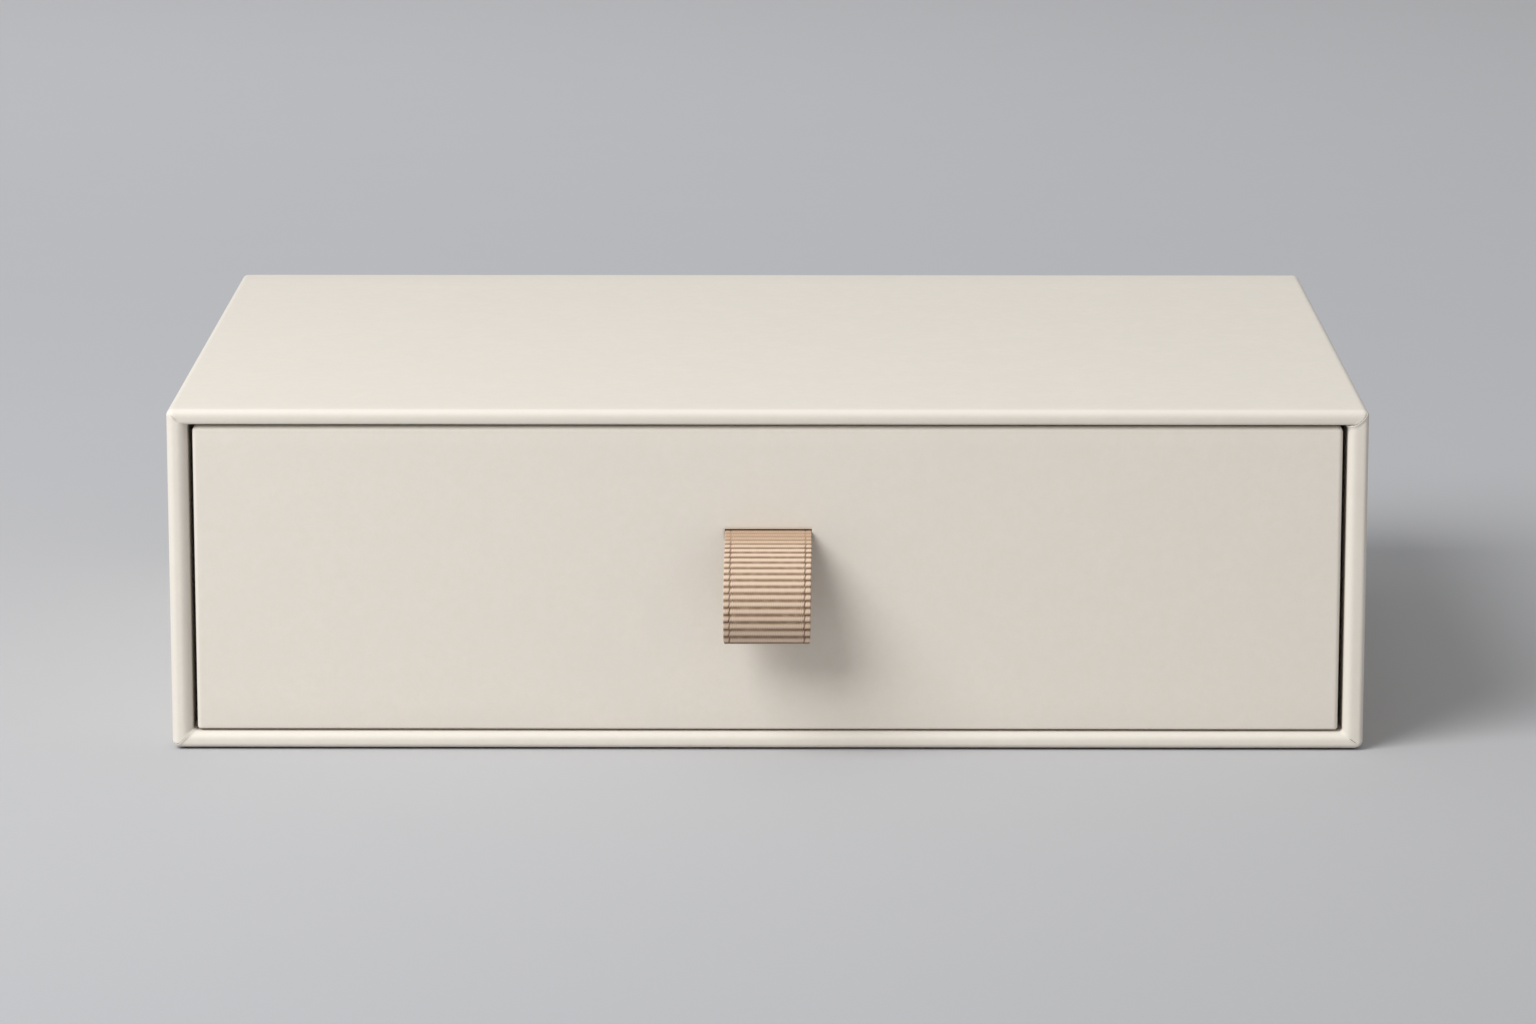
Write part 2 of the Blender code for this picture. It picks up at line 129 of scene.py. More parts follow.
class Signal:
    """A shader socket that Python sums can use: each operator adds one Math node."""

    def __init__(self, paint: "Paint", socket: bpy.types.NodeSocket) -> None:
        """Wraps an output in a material's node tree."""
        self.paint = paint
        self.socket = socket

    def maths(self, operation: str, *values: "Signal | float") -> "Signal":
        """Adds a Math node, with its inputs in order."""
        return self.paint.node("ShaderNodeMath", {"operation": operation}, dict(enumerate(values)))

    def __add__(self, other: "Signal | float") -> "Signal":
        """Adds."""
        return self.maths("ADD", self, other)

    def __radd__(self, other: "Signal | float") -> "Signal":
        """Adds to a number."""
        return self.maths("ADD", other, self)

    def __sub__(self, other: "Signal | float") -> "Signal":
        """Subtracts."""
        return self.maths("SUBTRACT", self, other)

    def __rsub__(self, other: "Signal | float") -> "Signal":
        """Is subtracted from a number."""
        return self.maths("SUBTRACT", other, self)

    def __mul__(self, other: "Signal | float") -> "Signal":
        """Multiplies."""
        return self.maths("MULTIPLY", self, other)

    def __rmul__(self, other: "Signal | float") -> "Signal":
        """Multiplies a number."""
        return self.maths("MULTIPLY", other, self)

    def wave(self) -> "Signal":
        """Takes the sine."""
        return self.maths("SINE", self)

    def between(self, low: float, high: float) -> "Signal":
        """Rises smoothly from 0 at low to 1 at high."""
        settings = {"interpolation_type": "SMOOTHSTEP", "clamp": True}
        return self.paint.node("ShaderNodeMapRange", settings, {0: self, 1: low, 2: high, 3: 0.0, 4: 1.0})


class Paint:
    """A Principled material under construction."""

    def __init__(self, name: str) -> None:
        """Starts an empty material with one Principled shader.

        Args:
            name: The material's name.
        """
        self.material = bpy.data.materials.new(name)
        self.material.use_nodes = True
        self.tree = self.material.node_tree
        self.shader = self.tree.nodes["Principled BSDF"]

    def node(
        self,
        kind: str,
        settings: Mapping[str, object],
        inputs: Mapping[int | str, object],
        output: int | str = 0,
    ) -> Signal:
        """Adds a node.

        Args:
            kind: The node's type.
            settings: Its own properties, which are set first.
            inputs: Values or signals of its sockets.
            output: The socket to return.

        Returns:
            The chosen output.
        """
        made = self.tree.nodes.new(kind)
        for name, value in settings.items():
            setattr(made, name, value)
        for key, value in inputs.items():
            self.join(value, made.inputs[key])
        return Signal(self, made.outputs[output])

    def join(self, value: object, socket: bpy.types.NodeSocket) -> None:
        """Gives a socket its value, or the link of a signal.

        Args:
            value: A number, a colour, a vector or a signal.
            socket: The input.
        """
        if isinstance(value, Signal):
            self.tree.links.new(value.socket, socket)
        else:
            socket.default_value = value

    def place(self) -> Signal:
        """Returns the object's own coordinates, in metres."""
        return self.node("ShaderNodeTexCoord", {}, {}, "Object")

    def attribute(self, name: str) -> Signal:
        """Returns a number that the mesh carries at its points."""
        return self.node("ShaderNodeAttribute", {"attribute_name": name}, {}, "Fac")

    def parts(self, vector: Signal) -> tuple[Signal, Signal]:
        """Returns the first two numbers of a vector."""
        first = self.node("ShaderNodeSeparateXYZ", {}, {0: vector}, "X")
        return first, Signal(self, first.socket.node.outputs["Y"])

    def stretched(self, place: Signal, scale: Triple, turn: Triple = (0, 0, 0)) -> Signal:
        """Scales each axis of coordinates after a turn in radians, for a pattern that runs one way."""
        return self.node("ShaderNodeMapping", {}, {"Vector": place, "Scale": scale, "Rotation": turn})

    def noise(self, place: Signal, size: float, detail: float = 2.0, rough: float = 0.5) -> Signal:
        """Returns cloudy noise from 0 to 1, with patches of about a size and finer layers on them."""
        inputs = {"Vector": place, "Scale": 1 / size, "Detail": detail, "Roughness": rough}
        return self.node("ShaderNodeTexNoise", {"noise_dimensions": "3D"}, inputs, "Fac")

    def mix(self, share: Signal | float, first: Signal | Triple, second: Signal | Triple) -> Signal:
        """Blends two colours, from the first at a share of 0 to the second at 1."""
        ends = [part if isinstance(part, Signal) else linear(part) for part in (first, second)]
        return self.node("ShaderNodeMix", {"data_type": "RGBA"}, {0: share, 6: ends[0], 7: ends[1]}, 2)

    def feed(self, **values: object) -> None:
        """Sets the shader's sockets, named with underscores for their spaces."""
        for name, value in values.items():
            self.join(value, self.shader.inputs[name.replace("_", " ").title().replace("Ior", "IOR")])

    def relief(self, height: Signal, depth: float) -> None:
        """Feeds a height to the shader's normal, where a height of 1 stands for a depth in metres."""
        inputs = {"Height": height, "Distance": depth, "Strength": 1.0}
        self.feed(normal=self.node("ShaderNodeBump", {}, inputs, "Normal"))


@dataclass(frozen=True)
class Finish:
    """A procedural finish: each kind adds its own nodes round one Principled shader.

    The bare numbers in a kind's nodes say how much: shares and thresholds from 0 to 1, layers
    of noise and their strength, and how far a pattern is stretched and turned.
    """

    name: str

    def dress(self, paint: Paint) -> None:
        """Adds the nodes."""
        raise NotImplementedError

    def material(self) -> bpy.types.Material:
        """Builds the material.

        Returns:
            The material.
        """
        paint = Paint(self.name)
        self.dress(paint)
        return paint.material


@dataclass(frozen=True)
class PaperFinish(Finish):
    """Matte wrapping paper: faint clouds and mottling, a fine tooth, flecks and burnished folds."""

    colour: Triple
    cool: Triple
    warm: Triple
    burnished: Triple
    mottled: Triple
    roughness: float = 0.62
    cloud_size: float = 9 * MM
    mottle_size: float = 2.4 * MM
    fleck_size: float = 0.9 * MM
    fibre_size: float = 0.8 * MM
    tooth_size: float = 0.35 * MM
    fleck_share: float = 0.35
    fibre_share: float = 0.16
    fold_share: float = 0.7
    gloss_change: float = 0.10
    depth: float = 0.030 * MM

    def dress(self, paint: Paint) -> None:
        """Adds the nodes: tints by clouds and mottling, then flecks and fibres, then the folds.

        Args:
            paint: The material under construction.
        """
        place = paint.place()
        cloud = paint.noise(place, self.cloud_size, 3.0, 0.6)
        broad = paint.noise(place, 5 * self.cloud_size, 2.0)
        along = paint.stretched(place, (1, 1, 0.35), (0.4, 0.7, 0.2))
        fibre = paint.noise(along, self.fibre_size, 3.0, 0.7)
        tooth = paint.noise(place, self.tooth_size, 2.0, 0.6)
        fleck = paint.noise(place, self.fleck_size, 1.0).between(0.66, 0.80)
        mottle = paint.noise(place, self.mottle_size, 4.0, 0.85)
        fold = paint.attribute("fold")
        tinted = paint.mix(cloud.between(0.30, 0.70), self.cool, self.warm)
        base = paint.mix(0.25 + 0.5 * broad.between(0.3, 0.7), tinted, self.colour)
        clouded = paint.mix(mottle.between(0.32, 0.68), base, self.mottled)
        speckled = paint.mix(self.fleck_share * fleck, clouded, self.burnished)
        fibrous = paint.mix(self.fibre_share * fibre.between(0.45, 0.75), speckled, self.cool)
        paint.feed(
            base_color=paint.mix(self.fold_share * fold, fibrous, self.burnished),
            roughness=self.roughness + self.gloss_change * (cloud - 0.5) - self.gloss_change * fold,
            specular_ior_level=0.35,
            sheen_weight=0.04,
        )
        paint.relief(0.45 * tooth + 0.25 * fibre + 0.2 * fleck + 0.9 * cloud, self.depth)


@dataclass(frozen=True)
class PaperCoreFinish(Finish):
    """The cut edge of a paper: its white core, a little furry."""

    colour: Triple
    shade: float = 0.93
    fur_size: float = 0.15 * MM
    depth: float = 0.02 * MM

    def dress(self, paint: Paint) -> None:
        """Adds the nodes: shaded between the fur's tips.

        Args:
            paint: The material under construction.
        """
        fur = paint.noise(paint.place(), self.fur_size, 3.0, 0.7)
        shaded = tuple(self.shade * part for part in self.colour)
        paint.feed(
            base_color=paint.mix(fur.between(0.35, 0.7), shaded, self.colour),
            roughness=0.8,
            specular_ior_level=0.3,
        )
        paint.relief(fur, self.depth)


@dataclass(frozen=True)
class GreyboardFinish(Finish):
    """Recycled board: grey-brown pulp with darker and lighter fibres and specks."""

    pulp: Triple
    dark: Triple
    light: Triple
    pulp_size: float = 3.5 * MM
    fibre_size: float = 0.5 * MM
    speck_size: float = 0.9 * MM
    depth: float = 0.08 * MM

    def dress(self, paint: Paint) -> None:
        """Adds the nodes: pulp in clouds, light fibres over it and dark specks on top.

        Args:
            paint: The material under construction.
        """
        place = paint.place()
        pulp = paint.noise(place, self.pulp_size, 4.0, 0.65)
        along = paint.stretched(place, (0.25, 1, 1), (0.3, 0.2, 0.5))
        fibres = paint.noise(along, self.fibre_size, 4.0, 0.7)
        specks = paint.noise(place, self.speck_size, 2.0, 0.6).between(0.63, 0.72)
        mottled = paint.mix(pulp.between(0.35, 0.65), self.dark, self.pulp)
        haired = paint.mix(0.4 * fibres.between(0.5, 0.72), mottled, self.light)
        paint.feed(
            base_color=paint.mix(0.6 * specks, haired, self.dark),
            roughness=0.88 + 0.06 * (pulp - 0.5),
            specular_ior_level=0.25,
        )
        paint.relief(0.6 * fibres + 0.4 * pulp, self.depth)


@dataclass(frozen=True)
class KraftTapeFinish(Finish):
    """Gummed kraft tape: brown machine-glazed paper with long fibres and a fine crepe."""

    brown: Triple
    light: Triple
    fibre_size: float = 0.6 * MM
    crepe_size: float = 1.6 * MM
    depth: float = 0.04 * MM

    def dress(self, paint: Paint) -> None:
        """Adds the nodes: light fibres in the brown, and the crepe's gloss and relief.

        Args:
            paint: The material under construction.
        """
        place = paint.place()
        along = paint.stretched(place, (1, 0.2, 0.2), (0.2, 0.1, 0.3))
        fibres = paint.noise(along, self.fibre_size, 4.0, 0.7)
        crepe = paint.noise(paint.stretched(place, (1, 0.5, 1)), self.crepe_size, 2.0)
        paint.feed(
            base_color=paint.mix(fibres.between(0.35, 0.7), self.brown, self.light),
            roughness=0.62 + 0.2 * (crepe - 0.5),
            specular_ior_level=0.4,
        )
        paint.relief(0.5 * fibres + 0.5 * crepe, self.depth)


@dataclass(frozen=True)
class GrosgrainFinish(Finish):
    """Matte ribbon: warp threads over thick ribs, with painted shade in the grooves where they cross and on the
    loop near the slot.
    """

    crest: Triple
    shaded_flank: Triple
    shaded_groove: Triple
    thread_pitch: float
    rib_pitch: float
    fibre_size: float = 0.25 * MM
    cloud_size: float = 1.1 * MM
    thread_share: float = 0.18
    cloud_share: float = 0.20
    # share of the painted shade on the loop near the slot
    slot_shade_share: float = 0.78
    depth: float = 0.045 * MM

    def dress(self, paint: Paint) -> None:
        """Adds the nodes: colours follow the ribs' height, as painted shade that darkens the flanks and the
        grooves, and the threads between them.

        Args:
            paint: The material under construction.
        """
        place = paint.node("ShaderNodeUVMap", {"uv_map": "weave"}, {})
        across, along = paint.parts(place)
        rib = paint.attribute("rib")
        thread = (across * (2 * math.pi / self.thread_pitch)).wave()
        parity = (along * (math.pi / self.rib_pitch)).wave()
        fibre = paint.noise(paint.stretched(place, (4, 1, 1)), self.fibre_size, 3.0, 0.7)
        uneven = paint.noise(place, self.cloud_size, 3.0)
        weave = 0.5 + 0.5 * (thread * parity)
        # painted shade: grooves and flanks are coloured darker than the crests, by the ribs' height
        low = paint.mix(rib.between(0.10, 0.72), self.shaded_groove, self.shaded_flank)
        high = paint.mix(rib.between(0.60, 1.0), low, self.crest)
        threaded = paint.mix(self.thread_share * (1 - weave), high, self.shaded_flank)
        cloudy = paint.mix(self.cloud_share * uneven.between(0.4, 0.7), threaded, self.crest)
        paint.feed(
            # painted shade: the slot's press mask colours the loop darker near the slot
            base_color=paint.mix(self.slot_shade_share * paint.attribute("pressed"), cloudy, self.shaded_flank),
            roughness=0.70 + 0.14 * (fibre - 0.5),
            specular_ior_level=0.35,
            sheen_weight=0.05,
            sheen_roughness=0.45,
        )
        paint.relief(0.6 * weave + 0.5 * fibre, self.depth)


@dataclass(frozen=True)
class StudioPaperFinish(Finish):
    """The pale grey sweep that the box stands on, with painted shade where the light falls off: darker far in
    front and at its front right.
    """

    front: Triple
    near: Triple
    far: Triple
    front_shade_reaches: Pair
    far_reaches: Pair
    right_shade_reaches: Pair = (-0.05, 0.15)
    front_right_shade_reaches: Pair = (-0.10, -0.05)
    right_shade_share: float = 0.38
    grain_size: float = 1.6 * MM
    cloud_size: float = 30 * MM
    shade: float = 0.9
    depth: float = 0.05 * MM

    def dress(self, paint: Paint) -> None:
        """Adds the nodes: the colour goes from front to near to far along the Y axis, a painted falloff of the
        light.

        Args:
            paint: The material under construction.
        """
        place = paint.place()
        beside, behind = paint.parts(place)
        on_right = beside.between(*self.right_shade_reaches)
        in_front = 1 - behind.between(*self.front_right_shade_reaches)
        grain = paint.noise(place, self.grain_size, 4.0, 0.7)
        cloud = paint.noise(place, self.cloud_size, 3.0)
        # painted shade: the floor darkens towards the front, as the light falls off
        ahead = paint.mix(behind.between(*self.front_shade_reaches), self.front, self.near)
        tone = paint.mix(behind.between(*self.far_reaches), ahead, self.far)
        darker = paint.mix(0.5, tone, tuple(self.shade * part for part in self.near))
        # painted shade: the front right is darkened where the key's light falls off
        share = 0.10 * grain + 0.14 * cloud + self.right_shade_share * on_right * in_front
        paint.feed(base_color=paint.mix(share, tone, darker), roughness=0.75, specular_ior_level=0.25)
        paint.relief(0.6 * grain + 0.4 * cloud, self.depth)


CREAM_PAPER = PaperFinish(
    "cream wrapping paper",
    colour=(226, 219, 209),
    cool=(224, 217, 208),
    warm=(228, 220, 209),
    burnished=(224, 218, 209),
    mottled=(223, 216, 204),
)
INNER_PAPER = PaperFinish(
    "inner lining paper",
    colour=(224, 219, 208),
    cool=(219, 215, 205),
    warm=(229, 223, 212),
    burnished=(237, 232, 224),
    mottled=(221, 216, 204),
    roughness=0.70,
    cloud_size=14 * MM,
)
PAPER_CORE = PaperCoreFinish("white paper core", (240, 236, 228))
GREYBOARD = GreyboardFinish("greyboard", (150, 144, 134), (112, 104, 94), (188, 182, 172))
KRAFT_TAPE = KraftTapeFinish("gummed kraft tape", (160, 124, 84), (190, 156, 116))


class Draft:
    """Grids of points that are gathered into one mesh."""

    def __init__(self) -> None:
        """Starts with nothing."""
        self.points: list[Array] = []
        self.quads: list[Array] = []
        self.caps: list[list[int]] = []
        self.fields: dict[str, list[Array]] = {}
        self.count = 0

    def add_grid(
        self, points: Array, keep: Array | None = None, ring: bool = False, **fields: Array
    ) -> "Draft":
        """Adds a grid of points and the quads between them.

        A quad joins (row, column), (row, column + 1), (row + 1, column + 1) and
        (row + 1, column), so its normal is the column step crossed with the row step.

        Args:
            points: Rows by columns by three coordinates, in metres.
            keep: Which quads to keep, rows - 1 by columns - 1.
            ring: Whether the last column is joined to the first.
            fields: Numbers that the points carry, rows by columns each, or by two for a map.

        Returns:
            The draft itself.
        """
        rows, columns = points.shape[:2]
        index = np.arange(rows * columns).reshape(rows, columns) + self.count
        if ring:
            index = np.concatenate([index, index[:, :1]], axis=1)
        quads = np.stack([index[:-1, :-1], index[:-1, 1:], index[1:, 1:], index[1:, :-1]], axis=-1)
        self.quads.append(quads[keep] if keep is not None else quads.reshape(-1, 4))
        self.points.append(points.reshape(-1, 3))
        for name, values in fields.items():
            self.fields.setdefault(name, []).append(values.reshape(rows * columns, -1))
        self.count += rows * columns
        return self

    def add_caps(self, columns: int) -> None:
        """Closes both ends of the ring-shaped grid that was added last.

        Args:
            columns: How many points each of its rows has.
        """
        rows = self.quads[-1].shape[0] // columns
        first = self.count - (rows + 1) * columns + np.arange(columns)
        last = self.count - columns + np.arange(columns)
        self.caps += [first[::-1].tolist(), last.tolist()]

    def make(self, name: str, *finishes: Finish) -> bpy.types.Object:
        """Makes the object, with its place in its mesh, and welds grids that meet.

        Points that no face uses are left out.

        Args:
            name: The piece's name.
            finishes: Its finishes in order.

        Returns:
            The object, smoothly shaded.
        """
        mesh = bpy.data.meshes.new(name)
        quads = np.concatenate(self.quads)
        used = np.zeros(self.count, bool)
        used[quads] = True
        index = np.cumsum(used) - 1
        faces = index[quads].tolist() + [index[cap].tolist() for cap in self.caps]
        mesh.from_pydata(np.concatenate(self.points)[used].tolist(), [], faces)
        for title, parts in self.fields.items():
            values = np.concatenate(parts)[used].astype(np.float32)
            kind, slot = ("FLOAT", "value") if values.shape[1] == 1 else ("FLOAT2", "vector")
            mesh.attributes.new(title, kind, "POINT").data.foreach_set(slot, values.ravel())
        work = bmesh.new()
        work.from_mesh(mesh)
        bmesh.ops.remove_doubles(work, verts=work.verts, dist=WELD)
        bmesh.ops.dissolve_degenerate(work, edges=work.edges, dist=WELD / 2)
        work.to_mesh(mesh)
        work.free()
        mesh.shade_smooth()
        for finish in finishes:
            mesh.materials.append(finish.material())
        return placed(name, mesh)

    def make_paper(self, name: str, finish: Finish, thickness: float) -> bpy.types.Object:
        """Makes a sheet that is solid behind its faces and shows its core at its cut edges.

        Args:
            name: The piece's name.
            finish: The finish of its faces.
            thickness: The paper's thickness.

        Returns:
            The object.
        """
        piece = self.make(name, finish, PAPER_CORE)
        solid = piece.modifiers.new("paper thickness", "SOLIDIFY")
        solid.thickness = thickness
        solid.offset = -1
        solid.use_even_offset = True
        solid.material_offset_rim = 1
        return piece


def uv_from_attribute(piece: bpy.types.Object, title: str) -> None:
    """Turns a two-number point attribute into a UV map of the same name.

    Args:
        piece: The object.
        title: The attribute's name.
    """
    mesh = piece.data
    values = np.zeros(len(mesh.vertices) * 2, np.float32)
    mesh.attributes[title].data.foreach_get("vector", values)
    corners = np.zeros(len(mesh.loops), np.int32)
    mesh.loops.foreach_get("vertex_index", corners)
    mesh.attributes.remove(mesh.attributes[title])
    layer = mesh.uv_layers.new(name=title)
    layer.uv.foreach_set("vector", values.reshape(-1, 2)[corners].ravel())


def seat(piece: bpy.types.Object, body: str, slot: str, *nodes: str) -> None:
    """Lets a finished piece ride on its body and stand for its nodes, and reports it.

    Args:
        piece: The finished piece.
        body: The body that it moves with.
        slot: The record's material slot; not used.
        nodes: The nodes that it stands for.
    """
    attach(piece, body)
    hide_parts(*nodes)
    log.info("%s: %d faces, on %s, for %s", piece.name, len(piece.data.polygons), body, ", ".join(nodes))


@dataclass
class Rows:
    """The rows of a wrap, from its far side to the rim and in again.

    Each row is inset from the wrap's outline by a share of each wall's own thickness and by
    an extra distance that is the same all round, lies at a depth behind the rim's plane, and
    has corners of some radius.
    """

    share: Array
    extra: Array
    depth: Array
    radius: Array

    @classmethod
    def folded(
        cls,
        far: Array,
        back: float,
        fold_r: float,
        wall: Array,
        rim_r: float,
        shares: Pair,
        flat_steps: int,
        flap: Array,
        fold_steps: int,
        corner_rs: Pair,
    ) -> "Rows":
        """Lays rows on the far side, round its fold, along the wall, over the rim and in.

        The far side's fold and the rim's two roundings are quarter circles, stretched on the
        rim to a share of each wall's thickness. A corner's radius is the outer one times
        (1 - share)^3 plus the inner one times the share, less the extra inset.

        Args:
            far: The extra insets on the far side.
            back: The depth of the far side.
            fold_r: The radius of its fold.
            wall: The depths along the wall.
            rim_r: The depth of the rim's roundings.
            shares: The shares that the outer and the inner rounding take up.
            flat_steps: How many rows lie on the flat of the rim.
            flap: The depths along the paper that is turned in.
            fold_steps: How many steps each quarter circle has.
            corner_rs: The corners' radius outside and inside.

        Returns:
            The rows.
        """
        angle = np.linspace(0, QUARTER, fold_steps + 1)
        slow, fast = 1 - np.cos(angle), 1 - np.sin(angle)
        outer, inner = shares
        stretches = (
            (0, far, back),
            (0, fold_r * fast, back - fold_r * slow),
            (0, 0, wall),
            (outer * slow, 0, rim_r * fast),
            (np.linspace(outer, 1 - inner, flat_steps), 0, 0),
            (1 - inner * fast, 0, rim_r * slow),
            (1, 0, flap),
        )
        full = [np.broadcast_arrays(*stretch) for stretch in stretches]
        rest = [[part[1:] for part in stretch] for stretch in full[1:]]
        share, extra, depth = (np.concatenate(parts).astype(float) for parts in zip(full[0], *rest))
        radius = corner_rs[0] * (1 - share) ** 3 + corner_rs[1] * share
        return cls(share, extra, depth, np.maximum(radius - extra, 0))


class Wall(Enum):
    """The four walls of a wrap, clockwise as seen with the mouth towards the viewer."""

    HIGH = 0
    RIGHT = 1
    LOW = 2
    LEFT = 3


@dataclass(frozen=True)
class MitreCut:
    """How the paper of two walls meets at a rim's corner.

    The cut lies open over some of the rim's width, its raised edge stands a little proud of
    the other, and the corner may be crushed rounder than the rest of its fold.
    """

    open_shares: Pair
    width: float
    raised: Wall
    lift: float
    crush: float = 0.0
    ease_share: float = 0.08

    def opening(self, share: Array) -> Array:
        """Tells how far open the cut is, from 0 to 1.

        Args:
            share: Where across the rim, from its outer edge at 0 to its inner edge at 1.

        Returns:
            The product of a rise at the first share and a fall at the last.
        """
        first, last = self.open_shares
        rise = smooth_step(share, first, first + self.ease_share)
        fall = 1 - smooth_step(share, last - self.ease_share, last) if last < 1 else np.ones_like(share)
        return rise * fall


Cuts = tuple[MitreCut, MitreCut, MitreCut, MitreCut]


@dataclass
class Wrap:
    """A sheet folded round a rectangular body, over its rim and in again.

    The outline lies in a plane of two coordinates, a to the right and b upwards, with the
    third, the depth, going in from the rim. Each wall is a grid whose columns start and end
    on the mitre lines of its corners.
    """

    low: Pair
    high: Pair
    thickness: dict[Wall, float]
    rows: Rows
    cuts: Cuts
    corner_steps: Array
    stations: dict[Wall, Array]
    rounded: Pair = (0.3, 0.3)
    wall_rounded: dict[Wall, Pair] = field(default_factory=dict)
    crown: dict[Wall, Triple] = field(default_factory=dict)
    softened: float = 0.16
    soft_samples: int = 25
    flat_gap: float = 4 * MM
    nearly_full: float = 0.9
    crown_fade: float = 3 * MM
    crown_reach: float = 6 * MM
    crush_reach: float = 4 * MM
    cut_reach: float = 1.6 * MM
    lift_reach: float = 0.7 * MM
    sharp_r: float = 0.4 * MM
    waver: float = 0.02 * MM
    waver_lengths: Pair = (9.1 * MM, 23 * MM)

    def wall(self, side: Wall) -> tuple[Array, Array]:
        """Works out one wall.

        From the mitre line, a column goes round an eighth of a circle to the flat of the
        wall, so at a distance d along a corner of radius r it has turned by the angle
        t = 45 degrees - d / r, and lies r - r sin t further along and r - r cos t further in
        than the corner's inset lines. Beyond that it runs straight. Folded paper wavers a
        little along its folds, by the product of two sines. Where a row is a little short, its
        columns draw together near the ends alone, by the square of their place.

        Args:
            side: Which wall.

        Returns:
            The points as (a, b, depth), rows by columns by 3, and how folded the sheet is there.
        """
        (a0, b0), (a1, b1) = self.low, self.high
        start, along, inward, length = {
            Wall.HIGH: ((a0, b1), (1, 0), (0, -1), a1 - a0),
            Wall.RIGHT: ((a1, b1), (0, -1), (-1, 0), b1 - b0),
            Wall.LOW: ((a1, b0), (-1, 0), (0, 1), a1 - a0),
            Wall.LEFT: ((a0, b0), (0, 1), (1, 0), b1 - b0),
        }[side]
        order, turn = list(Wall), side.value
        own = self.inset(side)
        insets = [self.inset(order[turn - 1]), self.inset(order[(turn + 1) % 4])]
        half = (length - insets[0] - insets[1]) / 2
        zone = self.corner_steps[-1]
        shrink = np.minimum(1, half / (2 * zone))[:, None]
        cuts = (self.cuts[turn], self.cuts[(turn + 1) % 4])
        near, far = (self.corner(side, own, inset, shrink, cut) for inset, cut in zip(insets, cuts))
        span = length / 2 - zone - self.flat_gap
        room = half[:, None] - zone * shrink
        middle = (insets[0] + length - insets[1])[:, None] / 2
        reach = np.minimum(1, room / (span + self.flat_gap))
        station = self.stations[side][None, :]
        drawn_in = (1 - reach) * np.where(reach > self.nearly_full, station**2, 1)
        middle_p = middle + station * span * (1 - drawn_in)
        flat = np.ones_like(middle_p)
        middles = (middle_p, own[:, None] * flat, self.rows.depth[:, None] * flat, 0 * flat)
        ends = (length - far[0], *far[1:])
        p, n, c, fold = (
            np.concatenate([first, between, last[:, ::-1]], axis=1)
            for first, between, last in zip(near, middles, ends)
        )
        c = c + self.crowned(side)[:, None] * smooth_step(np.minimum(p, length - p), 0, self.crown_fade)
        turned = self.turned(own)
        fold_row = (2 * np.abs(turned[0] * turned[1]))[:, None] ** 2
        fold = np.maximum(fold, fold_row * np.ones_like(p))
        short, long = self.waver_lengths
        wobble = self.waver * np.sin(p / short + turn) * np.sin(p / long + 2 * turn)
        n = n + wobble * turned[0][:, None] * fold_row
        c = c + wobble * turned[1][:, None] * fold_row
        a = start[0] + along[0] * p + inward[0] * n
        b = start[1] + along[1] * p + inward[1] * n
        return np.stack([a, b, c], axis=-1), fold

    def crowned(self, side: Wall) -> Array:
        """Works out how much deeper each row lies because the rim's face is crowned.

        The face falls away from its highest line as the square of the distance, to one depth
        at its outer edge and another at its inner one, and the walls beside it follow a while.

        Args:
            side: Which wall.

        Returns:
            The depth to add at each row.
        """
        top, outer, inner = self.crown.get(side, (0.5, 0, 0))
        off = self.rows.share - top
        fall = np.where(off < 0, outer * (off / top) ** 2, inner * (off / (1 - top)) ** 2)
        return fall * (1 - smooth_step(self.rows.depth, 0, self.crown_reach))

    def inset(self, side: Wall) -> Array:
        """Works out a wall's inset at each row.

        The rows' roundings take up the same two shares of every wall, and are stretched here
        to the shares of this one: a line of three slopes, averaged over a short window so that
        its bends are soft, with the line carried on beyond both of its ends.

        Args:
            side: Which wall.

        Returns:
            The insets.
        """
        outer, inner = self.wall_rounded.get(side, self.rounded)
        places = (0, self.rounded[0], 1 - self.rounded[1], 1)
        stretched = (0, outer, 1 - inner, 1)
        window = self.softened * np.linspace(-1, 1, self.soft_samples)[None, :]
        read = self.rows.share[:, None] + window
        line = np.interp(np.abs(read), places, stretched) * np.sign(read)
        beyond = 2 - np.interp(2 - read, places, stretched)
        share = np.where(read > 1, beyond, line).mean(axis=1)
        return self.thickness[side] * share + self.rows.extra

    def turned(self, own: Array) -> tuple[Array, Array]:
        """Works out the rows' outward normal.

        Args:
            own: The wall's inset at each row.

        Returns:
            The inward part and the depth part, a unit vector at right angles to the profile.
        """
        step_n, step_c = np.gradient(own), np.gradient(self.rows.depth)
        size = np.hypot(step_n, step_c)
        size[size == 0] = 1
        return step_c / size, -step_n / size

